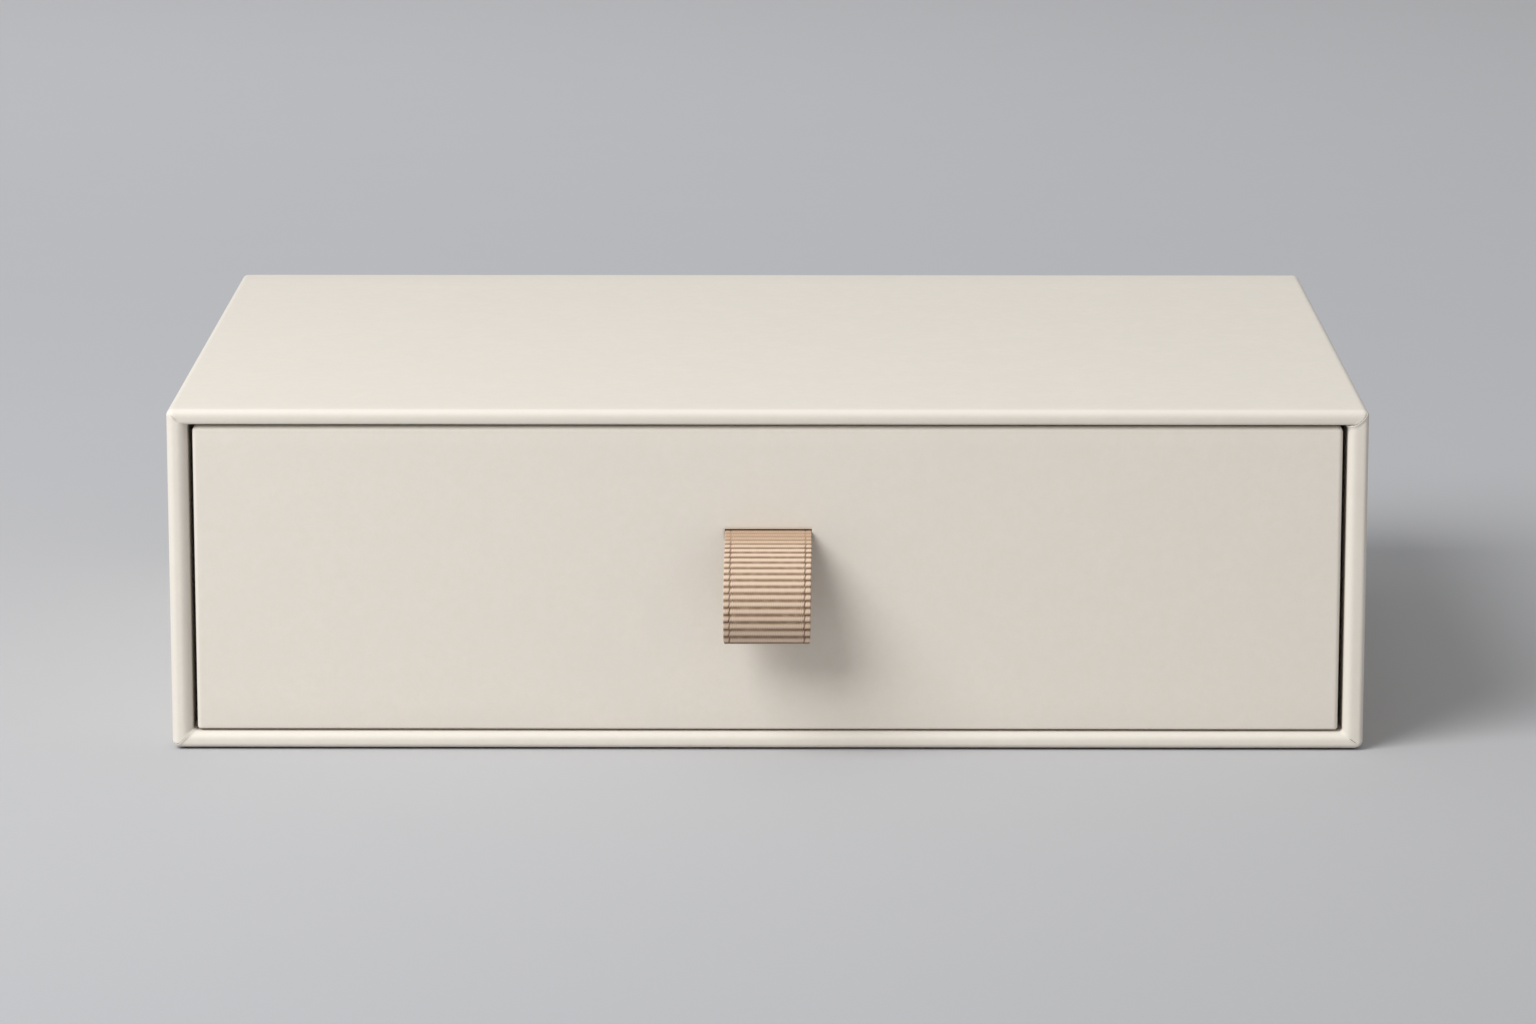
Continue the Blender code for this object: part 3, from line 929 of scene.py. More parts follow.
    def corner(
        self, side: Wall, own: Array, inset: Array, shrink: Array, cut: MitreCut
    ) -> tuple[Array, Array, Array, Array]:
        """Works out a wall's columns next to one of its corners.

        Args:
            side: The wall.
            own: The wall's inset at each row.
            inset: The inset of the wall that it meets there.
            shrink: How much the columns draw together at each row.
            cut: The corner's mitre cut.

        Returns:
            The distance along the wall, the inset, the depth and the fold, rows by columns each.
        """
        rows = self.rows
        crushed = cut.crush * np.exp(-((rows.depth / self.crush_reach) ** 2)) * (1 - rows.share) ** 2
        radius = np.maximum(rows.radius + crushed, WELD / 2)[:, None]
        d = self.corner_steps[None, :] * shrink
        arc = radius * math.pi / 4
        turn = math.pi / 4 - np.minimum(d, arc) / radius
        p = inset[:, None] + radius - radius * np.sin(turn) + np.maximum(d - arc, 0)
        n = own[:, None] + radius - radius * np.cos(turn)
        c = rows.depth[:, None] * np.ones_like(p)
        on_rim = (rows.extra == 0) & (rows.share > 0)
        open_row = (cut.opening(rows.share) * on_rim)[:, None]
        p = p + 0.5 * cut.width * open_row * (1 - smooth_step(d, 0, self.cut_reach))
        if side is cut.raised:
            rise = cut.lift * open_row * (1 - smooth_step(d, 0, self.lift_reach))
            normal_n, normal_c = self.turned(own)
            n = n + rise * normal_n[:, None]
            c = c + rise * normal_c[:, None]
        fold = np.sin(2 * turn) ** 2 * (radius > self.sharp_r)
        return p, n, c, fold


@dataclass
class SleevePapers:
    """The sleeve's wrap and the sheet on its back.

    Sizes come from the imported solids: the wrap's own box, the lining's box for the inner
    faces, and the back cover's thickness for the paper's.
    """

    fold_r: float = 1.3 * MM
    rim_depth_r: float = 1.2 * MM
    rounded: Pair = (0.38, 0.38)
    foot_rise: float = 0.33 * MM
    foot_reach: float = 5 * MM
    foot_height: float = 2.5 * MM
    inner_corner_r: float = 0.55 * MM
    back_fold_r: float = 1.2 * MM
    turn_in_gap: float = 0.3 * MM
    mouth_ease: float = 0.11 * MM
    flange: float = 14 * MM
    fold_steps: int = 8
    wall_stations: int = 26
    spacing_power: float = 0.8
    cover_corner_r: float = 0.8 * MM
    cover_sink: float = 0.12 * MM
    sink_reaches: Pair = (-0.4 * MM, 0.9 * MM)
    corner_steps: Array = field(
        default_factory=lambda: millimetres(
            0, 0.05, 0.12, 0.22, 0.34, 0.5, 0.68, 0.86, 1.04, 1.3, 1.7, 2.4, 3.6, 5.5, 8.0
        )
    )
    cuts: Cuts = (
        MitreCut((0.18, 0.48), 0.11 * MM, Wall.HIGH, 0.12 * MM),
        MitreCut((0.06, 1.0), 0.10 * MM, Wall.RIGHT, 0.16 * MM),
        MitreCut((0.36, 0.70), 0.14 * MM, Wall.LOW, 0.06 * MM, crush=0.45 * MM),
        MitreCut((0.06, 1.0), 0.10 * MM, Wall.LOW, 0.15 * MM, crush=0.35 * MM),
    )

    def __post_init__(self) -> None:
        """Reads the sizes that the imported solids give."""
        self.low, self.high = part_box("sleeve_wrap")
        self.cover_low, self.cover_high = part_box("sleeve_back_cover")
        self.lining_low, self.lining_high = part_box("sleeve_lining")
        self.paper_t = self.cover_high.y - self.cover_low.y

    def rows(self) -> Rows:
        """Lays out the wrap's rows: back flange, back fold, wall, rim, and turned-in flap.

        Returns:
            The rows.
        """
        back = self.high.y - self.low.y
        turn_in = self.lining_low.y - self.turn_in_gap - self.low.y
        run = np.linspace(0, 1, 29) ** self.spacing_power
        return Rows.folded(
            far=self.flange + (self.back_fold_r - self.flange) * np.linspace(0, 1, 7),
            back=back,
            fold_r=self.back_fold_r,
            wall=(back - self.back_fold_r) + (self.rim_depth_r - back + self.back_fold_r) * run,
            rim_r=self.rim_depth_r,
            shares=self.rounded,
            flat_steps=7,
            flap=np.linspace(self.rim_depth_r, turn_in, 8),
            fold_steps=self.fold_steps,
            corner_rs=(self.fold_r, self.inner_corner_r),
        )

    def wrap(self) -> bpy.types.Object:
        """Folds the wrap: (a, b, depth) is x, z and y behind the mouth's plane.

        Each wall has its own roundings and its own crown: the place of its highest line as a
        share of the rim, and how far the face falls away to its outer and inner edges.

        Returns:
            The piece.
        """
        side_t = self.high.x - (self.lining_high.x - self.paper_t) - self.mouth_ease
        stations = np.linspace(-1, 1, self.wall_stations)
        folded = Wrap(
            low=(self.low.x, self.low.z),
            high=(self.high.x, self.high.z),
            thickness={
                Wall.HIGH: self.high.z - (self.lining_high.z - self.paper_t),
                Wall.LOW: self.lining_low.z + self.paper_t - self.low.z - self.mouth_ease,
                Wall.LEFT: side_t,
                Wall.RIGHT: side_t,
            },
            rows=self.rows(),
            cuts=self.cuts,
            corner_steps=self.corner_steps,
            stations={wall: stations for wall in Wall},
            rounded=self.rounded,
            wall_rounded={
                Wall.HIGH: (0.50, 0.09),
                Wall.LOW: (0.26, 0.41),
                Wall.LEFT: (0.34, 0.46),
                Wall.RIGHT: (0.22, 0.42),
            },
            crown={
                Wall.HIGH: (0.3, 0, 0.58 * MM),
                Wall.LOW: (0.5, 0.10 * MM, 0.35 * MM),
                Wall.LEFT: (0.56, 0.36 * MM, 0.45 * MM),
                Wall.RIGHT: (0.60, 0.15 * MM, 0.24 * MM),
            },
        )
        draft = Draft()
        for wall in Wall:
            points, fold = folded.wall(wall)
            x, z, depth = points[..., 0], points[..., 1], points[..., 2]
            laid = np.stack([x, self.low.y + depth, z + self.foot(z, depth)], axis=-1)
            draft.add_grid(laid[:, ::-1], fold=fold[:, ::-1])
        return draft.make_paper("sleeve_wrap_paper", CREAM_PAPER, self.paper_t)

    def foot(self, z: Array, depth: Array) -> Array:
        """Tells how far the base's front edge bows up off the table.

        Args:
            z: Heights.
            depth: Depths behind the mouth.

        Returns:
            The rise: full at the mouth's lowest edge, and none further in or higher up.
        """
        back = 1 - smooth_step(depth, 0.1 * self.foot_reach, self.foot_reach)
        high = 1 - smooth_step(z, 0, self.foot_height)
        return self.foot_rise * back * high

    def back_sheet(self) -> bpy.types.Object:
        """Lays the sheet on the back: it sinks a little inside the edge of the flange below.

        A point in a corner's square is drawn in towards the corner's centre, so that the
        squares round it become circles.

        Returns:
            The piece.
        """
        half_x = self.cover_high.x
        half_z = (self.cover_high.z - self.cover_low.z) / 2
        middle_z = (self.cover_high.z + self.cover_low.z) / 2
        u, v = np.meshgrid(sine_spaced(61), sine_spaced(41))
        x, z = half_x * u, half_z * v
        beyond_x = np.maximum(np.abs(x) - (half_x - self.cover_corner_r), 0)
        beyond_z = np.maximum(np.abs(z) - (half_z - self.cover_corner_r), 0)
        both = (beyond_x > 0) & (beyond_z > 0)
        size = np.maximum(np.hypot(beyond_x, beyond_z), 1e-9)
        pull = np.where(both, np.maximum(beyond_x, beyond_z) / size, 1)
        x = np.sign(x) * (np.abs(x) - beyond_x * (1 - pull))
        z = np.sign(z) * (np.abs(z) - beyond_z * (1 - pull))
        edge = np.minimum(self.high.x - np.abs(x), self.high.z / 2 - np.abs(z)) - self.flange
        y = self.cover_high.y - self.cover_sink * smooth_step(edge, *self.sink_reaches)
        points = np.stack([x, y, z + middle_z], axis=-1)
        draft = Draft().add_grid(points[:, ::-1], fold=0 * x)
        return draft.make_paper("sleeve_back_sheet", CREAM_PAPER, self.paper_t)

    def build(self) -> None:
        """Makes both papers and seats them."""
        seat(self.wrap(), "sleeve", "cream_paper", "sleeve_wrap")
        seat(self.back_sheet(), "sleeve", "cream_paper", "sleeve_back_cover")


def slot_height() -> float:
    """Returns the height of the slot's middle: the swing's axis is on the upper layer's top."""
    swing = next(joint for joint in frame["joints"] if joint["name"] == "pull_swing")
    return swing["pos_m"][2] - LAYER_OFFSET - RIBBON_T / 2


@dataclass
class DrawerPapers:
    """The drawer's wrap, with the slot in its front, and the sheet on its floor."""

    corner_r: float = 0.75 * MM
    rim_r: float = 1.0 * MM
    rim_share: float = 0.36
    rim_drop: float = 0.04 * MM
    rim_drop_reach: float = 4 * MM
    floor_fold_r: float = 0.45 * MM
    inner_corner_r: float = 0.4 * MM
    sheet_gap: float = 0.3 * MM
    slot_w: float = 15.94 * MM
    slot_h: float = 1.70 * MM
    slot_press: float = 0.10 * MM
    press_reach: float = 0.22 * MM
    fold_steps: int = 7
    floor_curl: float = 0.25 * MM
    curl_reach: float = 2.5 * MM
    side_curl_share: float = 0.35
    curl_lengths: Pair = (17 * MM, 13 * MM)
    flat_gap: float = 4 * MM
    step_gap: float = 2 * MM
    corner_steps: Array = field(
        default_factory=lambda: millimetres(
            0, 0.05, 0.12, 0.2, 0.3, 0.42, 0.55, 0.7, 0.95, 1.4, 2.2, 3.6, 5.5, 8.0
        )
    )
    edge_steps: Array = field(
        default_factory=lambda: millimetres(0, 0.07, 0.15, 0.25, 0.4, 0.65, 1.1, 2.0)
    )
    cuts: Cuts = (
        MitreCut((0.10, 1.0), 0.10 * MM, Wall.HIGH, 0.06 * MM),
        MitreCut((0.10, 1.0), 0.10 * MM, Wall.RIGHT, 0.06 * MM),
        MitreCut((0.04, 1.0), 0.22 * MM, Wall.RIGHT, 0.05 * MM),
        MitreCut((0.04, 1.0), 0.22 * MM, Wall.LEFT, 0.05 * MM),
    )

    def __post_init__(self) -> None:
        """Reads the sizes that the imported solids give."""
        self.low, self.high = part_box("drawer_wrap")
        self.liner_low, self.liner_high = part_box("drawer_floor_liner")
        self.paper_t = self.liner_high.z - self.liner_low.z
        self.wall_t = self.high.x - (self.liner_high.x + self.sheet_gap)
        self.slot_z = slot_height()

    def rows(self) -> Rows:
        """Lays out the wrap's rows: underside, floor fold, wall, rim, and the wall inside.

        Returns:
            The rows.
        """
        tall = self.high.z - self.low.z
        half_b = (self.high.y - self.low.y) / 2
        return Rows.folded(
            far=self.floor_fold_r + (half_b - self.floor_fold_r) * np.linspace(1, 0, 8),
            back=tall,
            fold_r=self.floor_fold_r,
            wall=self.wall_depths(tall - self.floor_fold_r),
            rim_r=self.rim_r,
            shares=(self.rim_share, self.rim_share),
            flat_steps=5,
            flap=self.wall_depths(self.high.z - self.liner_low.z)[::-1],
            fold_steps=self.fold_steps,
            corner_rs=(self.corner_r, self.inner_corner_r),
        )

    def wall_depths(self, deep: float) -> Array:
        """Spaces a wall's rows, close together at the slot's two edges.

        Args:
            deep: The depth of the lowest row.

        Returns:
            Depths from there to the rim's roundings.
        """
        middle = self.high.z - self.slot_z
        lower = middle + self.slot_h / 2 + self.edge_steps
        upper = middle - self.slot_h / 2 - self.edge_steps
        below = np.linspace(deep, lower[-1] + self.step_gap, 7)
        above = np.linspace(upper[-1] - self.step_gap, self.rim_r, 6)
        return np.concatenate([below, lower[::-1], upper, above])

    def front_stations(self) -> Array:
        """Spaces the front's columns, close together at the slot's two ends.

        Returns:
            Places along the wall's flat length from -1 to 1.
        """
        span = (self.high.x - self.low.x) / 2 - self.corner_steps[-1] - self.flat_gap
        inside = self.slot_w / 2 * np.linspace(0, 1, 9)[:-1]
        right = np.concatenate([inside, self.slot_w / 2 + self.edge_steps])
        slot = np.concatenate([-right[:0:-1], right]) - RIBBON_X
        left_out = np.linspace(-span, slot[0] - self.step_gap, 10)
        right_out = np.linspace(slot[-1] + self.step_gap, span, 10)
        return np.concatenate([left_out, slot, right_out]) / span

    def front(self, x: Array, y: Array, z: Array) -> tuple[Array, Array]:
        """Presses the front in round the slot, as the distance from it falls, and opens the slot.

        Args:
            x: The wall's points across.
            y: The same, behind the front.
            z: The same, upwards.

        Returns:
            The new y, and which quads stay, from the last column to the first.
        """
        out_x = np.abs(x - RIBBON_X) - self.slot_w / 2
        out_z = np.abs(z - self.slot_z) - self.slot_h / 2
        away = np.hypot(np.maximum(out_x, 0), np.maximum(out_z, 0))
        outer = y < self.low.y + self.wall_t / 4
        y = y + outer * self.slot_press * np.exp(-((away / self.press_reach) ** 2))
        inside = (np.maximum(out_x, out_z) < 5 * WELD) & (np.abs(z - self.slot_z) < self.slot_h)
        gone = inside[:-1, :-1] & inside[:-1, 1:] & inside[1:, 1:] & inside[1:, :-1]
        return y, ~gone[:, ::-1]

    def wrap(self) -> bpy.types.Object:
        """Folds the wrap: (a, b, depth) is x, y and z below the rim's plane.

        Returns:
            The piece.
        """
        plain = np.linspace(-1, 1, 22)
        front = self.front_stations()
        folded = Wrap(
            low=(self.low.x, self.low.y),
            high=(self.high.x, self.high.y),
            thickness={wall: self.wall_t for wall in Wall},
            rows=self.rows(),
            cuts=self.cuts,
            corner_steps=self.corner_steps,
            stations={Wall.HIGH: -front[::-1], Wall.RIGHT: plain, Wall.LOW: front, Wall.LEFT: plain},
            flat_gap=self.flat_gap,
        )
        draft = Draft()
        for wall in Wall:
            points, fold = folded.wall(wall)
            x, y, z = points[..., 0], points[..., 1], self.high.z - points[..., 2]
            drop = 1 - smooth_step(y, self.low.y, self.low.y + self.rim_drop_reach)
            z = z - self.rim_drop * drop * (1 - smooth_step(self.high.z - z, 0, 3 * self.rim_r))
            y, keep = self.front(x, y, z) if wall is Wall.LOW else (y, None)
            laid = np.stack([x, y, z], axis=-1)
            draft.add_grid(laid[:, ::-1], keep=keep, fold=fold[:, ::-1])
        return draft.make_paper("drawer_wrap_paper", CREAM_PAPER, self.paper_t)

    def floor_sheet(self) -> bpy.types.Object:
        """Lays the floor sheet, whose edges curl up a little, most of all at its corners.

        The curl falls with the distance from the edge as exp(-d / reach), and a product of
        two sines makes it uneven.

        Returns:
            The piece.
        """
        u, v = np.meshgrid(sine_spaced(61), sine_spaced(51))
        middle = (self.liner_low + self.liner_high) / 2
        half = (self.liner_high - self.liner_low) / 2
        x, y = middle.x + half.x * u, middle.y + half.y * v
        edge = np.minimum(half.x * (1 - np.abs(u)), half.y * (1 - np.abs(v)))
        share = self.side_curl_share + (1 - self.side_curl_share) * (u * v) ** 6
        rise = self.floor_curl * share * np.exp(-edge / self.curl_reach)
        across, along = self.curl_lengths
        uneven = 0.5 + 0.5 * np.sin(x / across + 1.0) * np.sin(y / along + 0.4)
        points = np.stack([x, y, self.liner_high.z + rise * uneven], axis=-1)
        draft = Draft().add_grid(points, fold=0 * x)
        return draft.make_paper("drawer_floor_sheet", INNER_PAPER, self.paper_t)

    def build(self) -> None:
        """Makes both papers and seats them."""
        seat(self.wrap(), "drawer", "cream_paper", "drawer_wrap")
        seat(self.floor_sheet(), "drawer", "inner_paper", "drawer_floor_liner")


@dataclass
class RibbonPull:
    """The grosgrain ribbon, one strip from its upper tail round the loop to its lower tail.

    The loop's profile is three cubic Bezier curves, with places and handles given as shares
    of how far the loop stands out and of how far it hangs down.
    """

    thickness: float = RIBBON_T
    rib_pitch: float = 1.22 * MM
    rib_height: float = 0.16 * MM
    rib_phase: float = 0.30
    rib_power: float = 0.75
    rib_spread: float = 0.40
    spread_reach: float = 5.5 * MM
    thread_pitch: float = 0.42 * MM
    thread_height: float = 0.014 * MM
    zigzag: float = 0.13
    pressed_reach: Pair = (1.6 * MM, 6.5 * MM)
    pressed_flat: float = 0.45
    selvedge_w: float = 1.15 * MM
    selvedge_fade: float = 0.2 * MM
    selvedge_groove: float = 0.075 * MM
    groove_w: float = 0.11 * MM
    groove_sway: float = 0.30 * MM
    groove_shade: float = 0.8
    corner_tuck: float = 0.15 * MM
    tuck_along: float = 1.2 * MM
    tuck_across: float = 2 * MM
    scallop: float = 0.10 * MM
    edge_r: float = 0.22 * MM
    end_r: float = 0.25 * MM
    end_taper: float = 0.85
    lean: float = 0.25 * MM
    root_gap: float = 0.35 * MM
    hang: float = 1.02
    tail_bend_r: float = 0.6 * MM
    bend_reach: float = 3.6 * MM
    leaving_shares: Pair = (0.44, 0.07)
    bulge_shares: Pair = (1.0, 0.66)
    bulge_handle_shares: Pair = (0.40, 0.17)
    bottom_shares: Pair = (0.74, 1.0)
    bottom_handle_shares: Pair = (0.10, 0.12)
    return_shares: Pair = (0.26, 0.22)
    outer_columns: int = 150
    even_share: float = 0.75
    inner_columns: int = 44
    rows_per_rib: int = 9
    fine_beyond: float = 1.5 * MM
    tail_step: float = 0.35 * MM
    first_step: float = 0.04 * MM

    def __post_init__(self) -> None:
        """Reads the ribbon's width, the loop's reach and the tails' place from the solids."""
        low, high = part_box("ribbon_loop")
        tail_low, tail_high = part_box("ribbon_upper_tail")
        self.width = high.x - low.x
        self.front_y = tail_low.y
        self.slot_z = slot_height()
        self.out = self.front_y - low.y - self.thickness / 2
        self.drop = (self.slot_z - low.z - self.thickness / 2) * self.hang
        self.tail_y = tail_high.y - self.thickness / 2
        self.tail_h = tail_high.z - self.slot_z - LAYER_OFFSET
        line, length, _, _ = self.middle_line()
        self.bottom_s = float(length[np.argmin(line[:, 1])])

    def loop_line(self) -> Array:
        """Draws the loop's middle line.

        Returns:
            Points (out, up) from the front at the slot's height.
        """

        def shared(shares: Pair) -> Array:
            """A step out and down by shares of the loop's two sizes."""
            return np.array([shares[0] * self.out, -shares[1] * self.drop])

        start = np.array([self.root_gap, LAYER_OFFSET])
        end = np.array([self.root_gap, -LAYER_OFFSET])
        bulge, bottom = shared(self.bulge_shares), shared(self.bottom_shares)
        rise, fall = (shared((0, share)) for share in self.bulge_handle_shares)
        ahead, behind = (shared((share, 0)) for share in self.bottom_handle_shares)
        stretches = (
            (start, start + shared(self.leaving_shares), bulge - rise, bulge),
            (bulge, bulge + fall, bottom + ahead, bottom),
            (bottom, bottom - behind, end + shared(self.return_shares), end),
        )
        t = np.linspace(0, 1, 300)[:, None]
        weights = ((1 - t) ** 3, 3 * t * (1 - t) ** 2, 3 * t**2 * (1 - t), t**3)
        curves = [sum(w * point for w, point in zip(weights, points)) for points in stretches]
        return np.concatenate([curves[0], curves[1][1:], curves[2][1:]])

    def tail_line(self, side: int) -> Array:
        """Draws a tail's middle line from its end to the slot.

        Args:
            side: 1 for the upper tail and -1 for the lower one.

        Returns:
            Points (out, up): down the front's back, round a quarter turn, and out.
        """
        depth = self.front_y - self.tail_y
        turn = np.linspace(QUARTER, 0, 24)
        bend_out = depth + self.tail_bend_r
        bend_up = side * (LAYER_OFFSET + self.tail_bend_r)
        arc_out = bend_out - self.tail_bend_r * np.sin(turn)
        arc_up = bend_up - side * self.tail_bend_r * np.cos(turn)
        down = np.linspace(side * (LAYER_OFFSET + self.tail_h), bend_up, 40)[:-1]
        through = np.linspace(bend_out, 0, 20)[1:]
        out = np.concatenate([np.full_like(down, depth), arc_out, through])
        up = np.concatenate([down, arc_up, np.full_like(through, side * LAYER_OFFSET)])
        return np.stack([out, up], axis=-1)

    def middle_line(self) -> tuple[Array, Array, float, float]:
        """Joins tails and loop.

        Returns:
            The line's points (y, z), its length at each, and where the loop starts and ends.
        """
        upper, loop, lower = self.tail_line(1), self.loop_line(), self.tail_line(-1)[::-1]
        line = np.concatenate([upper, loop, lower])
        length = np.concatenate([[0], np.cumsum(np.linalg.norm(np.diff(line, axis=0), axis=1))])
        start, end = length[len(upper)], length[len(upper) + len(loop) - 1]
        places = np.stack([self.front_y - line[:, 0], self.slot_z + line[:, 1]], axis=-1)
        return places, length, start, end

    def rib_count(self, s: Array) -> Array:
        """Counts the ribs that lie before each place s along the ribbon.

        They spread a little round the loop's lowest bend: the count is s over the pitch, less
        a smooth step there whose slope is the spread.

        Args:
            s: The places along.

        Returns:
            The counts.
        """
        reach = self.spread_reach
        spread = self.rib_spread * reach * np.tanh((s - self.bottom_s) / reach)
        return (s - spread) / self.rib_pitch + self.rib_phase

    def ribs(self, w: Array, s: Array, pressed: Array) -> tuple[Array, Array]:
        """Works out the cloth's relief.

        A rib is |sin(pi v)| to a power, where v counts ribs along the ribbon and is shifted
        by the threads, which interlock as a zigzag whose phase flips from groove to groove.
        The selvedge is cut off from the ribs by a narrow groove that sways with them; the groove also lowers the
        returned heights, and the finish colours low heights darker as painted shade.

        Args:
            w: The place across, in metres from the middle.
            s: The place along, in metres.
            pressed: How flat the slot has pressed the ribs.

        Returns:
            Half of the thickness, and the ribs' height from 0 to 1, less in the selvedge's groove, which the
            finish paints as shade.
        """
        v = self.rib_count(s)
        threads = np.cos(2 * np.pi * w / self.thread_pitch)
        inner = self.width / 2 - self.selvedge_w
        body = smooth_step(np.abs(w), inner + self.selvedge_fade, inner)
        shifted = v + body * self.zigzag * threads * np.cos(np.pi * v)
        rib = np.abs(np.sin(np.pi * shifted)) ** self.rib_power
        sway = self.groove_sway * (np.mod(v, 1) - 0.5)
        line = np.abs(w) - inner + sway * np.sign(w)
        shaded_groove = np.exp(-((line / self.groove_w) ** 2))
        thread = self.thread_height * body * threads * np.sin(np.pi * v) * rib
        rib_height = self.rib_height * (1 - self.pressed_flat * pressed)
        half = self.thickness / 2 - rib_height * (1 - rib) - self.selvedge_groove * shaded_groove + thread
        # painted shade: the selvedge's groove darkens the heights that colour the ribbon
        return half, np.clip(rib * (1 - self.groove_shade * shaded_groove), 0, 1)

    def places_along(self, length: Array, start: float, end: float) -> Array:
        """Spaces the rows: fine steps on the loop, wide ones on the tails, and rounded ends.

        Args:
            length: The middle line's length at each of its points.
            start: Where the loop starts.
            end: Where it ends.

        Returns:
            Places along the ribbon.
        """
        step = self.tail_step
        fine = np.arange(start - self.fine_beyond, end + self.fine_beyond, self.rib_pitch / self.rows_per_rib)
        first = np.arange(self.first_step, fine[0] - step / 2, step)
        last = np.arange(fine[-1] + step, length[-1] - self.first_step, step)
        ends = self.end_r * (1 - np.cos(np.linspace(0, QUARTER, 5)))
        return np.unique(np.concatenate([ends, first, fine, last, length[-1] - ends]))

    def surface(self) -> tuple[Array, Array, Array, Array]:
        """Works out the ribbon's closed surface.

        A row is a ring: across on the outer side and back on the inner side. Each point is
        the middle line's point, moved across by w and along the line's normal by half of the
        thickness, which tapers to nothing at the two edges and at the two cut ends. The edges
        are scalloped between the ribs and tucked in at the lowest bend, and the loop leans a
        little sideways. The slot's press is 1 in the tails and falls to 0 along the loop; it
        flattens the ribs there, and the finish also paints shade with it near the slot.

        Returns:
            Points, weave coordinates (across, along), rib heights, and how pressed they are, which also paints
            shade near the slot.
        """
        line, length, start, end = self.middle_line()
        s = self.places_along(length, start, end)
        y, z = np.interp(s, length, line[:, 0]), np.interp(s, length, line[:, 1])
        step_y = np.interp(s, length, np.gradient(line[:, 0], length))
        step_z = np.interp(s, length, np.gradient(line[:, 1], length))
        size = np.hypot(step_y, step_z)
        half_w = self.width / 2
        outer = self.even_share * np.linspace(-half_w, half_w, self.outer_columns)
        outer = outer + (1 - self.even_share) * half_w * sine_spaced(self.outer_columns)
        inner = half_w * np.linspace(1, -1, self.inner_columns)[1:-1]
        side = np.concatenate([np.ones_like(outer), -np.ones_like(inner)])[None, :]
        rows, columns = np.meshgrid(s, np.concatenate([outer, inner]), indexing="ij")
        # the slot's press: it flattens the ribs, and the finish paints shade with it near the slot
        pressed = 1 - smooth_step(np.minimum(rows - start, end - rows), *self.pressed_reach)
        half, rib = self.ribs(columns, rows, pressed)
        across = np.abs(columns)
        edge = np.clip((across - (half_w - self.edge_r)) / self.edge_r, 0, 1)
        cut = np.clip(1 - np.minimum(rows, length[-1] - rows) / self.end_r, 0, 1)
        taper = np.sqrt(np.clip(1 - edge**2, 0, 1)) * np.sqrt(1 - self.end_taper * cut**2)
        lift = side * half * taper
        beads = self.scallop * (1 - rib) * smooth_step(across, half_w - self.selvedge_w, half_w)
        lean = self.lean * np.sin(np.pi * np.clip((rows - start) / (end - start), 0, 1)) ** 2
        bend = np.exp(-(((rows - self.bottom_s) / self.tuck_along) ** 2))
        tuck = self.corner_tuck * bend * smooth_step(across, half_w - self.tuck_across, half_w)
        x = RIBBON_X + columns - np.sign(columns) * (beads + tuck) - lean
        y = y[:, None] + (step_z / size)[:, None] * lift
        z = z[:, None] - (step_y / size)[:, None] * lift
        weave = np.stack([columns, self.rib_count(rows) * self.rib_pitch], axis=-1)
        return np.stack([x, y, z], axis=-1), weave, rib, pressed

    def build(self) -> None:
        points, weave, rib, pressed = (values[:, ::-1] for values in self.surface())
        draft = Draft().add_grid(points, ring=True, weave=weave, rib=rib, pressed=pressed)
        draft.add_caps(points.shape[1])
        finish = GrosgrainFinish(
            "tan grosgrain",
            crest=(224, 201, 179),
            # the flank and groove colours are painted shade, picked by the ribs' height
            shaded_flank=(178, 149, 123),
            shaded_groove=(84, 58, 38),
            thread_pitch=self.thread_pitch,
            rib_pitch=self.rib_pitch,
        )
        piece = draft.make("grosgrain_ribbon", finish)
        uv_from_attribute(piece, "weave")
        length = self.middle_line()[1][-1]
        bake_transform(piece)
        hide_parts("ribbon_loop", "ribbon_upper_tail", "ribbon_lower_tail")
        log.info("%s: %d faces, %.1f mm long", piece.name, len(piece.data.polygons), length / MM)


@dataclass
class TailPatch:
    """The paper patch glued inside the front, over the ribbon's tails."""

    paper_t: float = 0.2 * MM
    flat_r: float = 0.1 * MM
    slope: float = 1.6 * MM
    board_cover: float = 0.45 * MM
    wall_gap: float = 0.05 * MM

    def build(self) -> None:
        """Lays the patch: flat on the wall round its edges, raised over the tails below it."""
        low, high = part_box("tail_patch")
        tail_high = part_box("ribbon_upper_tail")[1]
        end_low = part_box("ribbon_lower_tail")[0]
        wall_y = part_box("drawer_front_board")[1].y + self.board_cover
        u, v = np.meshgrid(np.linspace(-1, 1, 49), np.linspace(-1, 1, 61))
        middle_z, half_z = (low.z + high.z) / 2, (high.z - low.z) / 2
        x, z = high.x * u, middle_z + half_z * v
        beside = smooth_step(np.abs(x) - tail_high.x, self.flat_r, self.slope)
        above = smooth_step(np.maximum(z - tail_high.z, end_low.z - z), self.flat_r, self.slope)
        flat_y = wall_y + self.wall_gap + self.paper_t
        y = flat_y + (high.y - flat_y) * (1 - beside) * (1 - above)
        draft = Draft().add_grid(np.stack([x, y, z], axis=-1)[:, ::-1], fold=0 * x)
        piece = draft.make_paper("tail_patch_paper", INNER_PAPER, self.paper_t)
        seat(piece, "drawer", "inner_paper", "tail_patch")


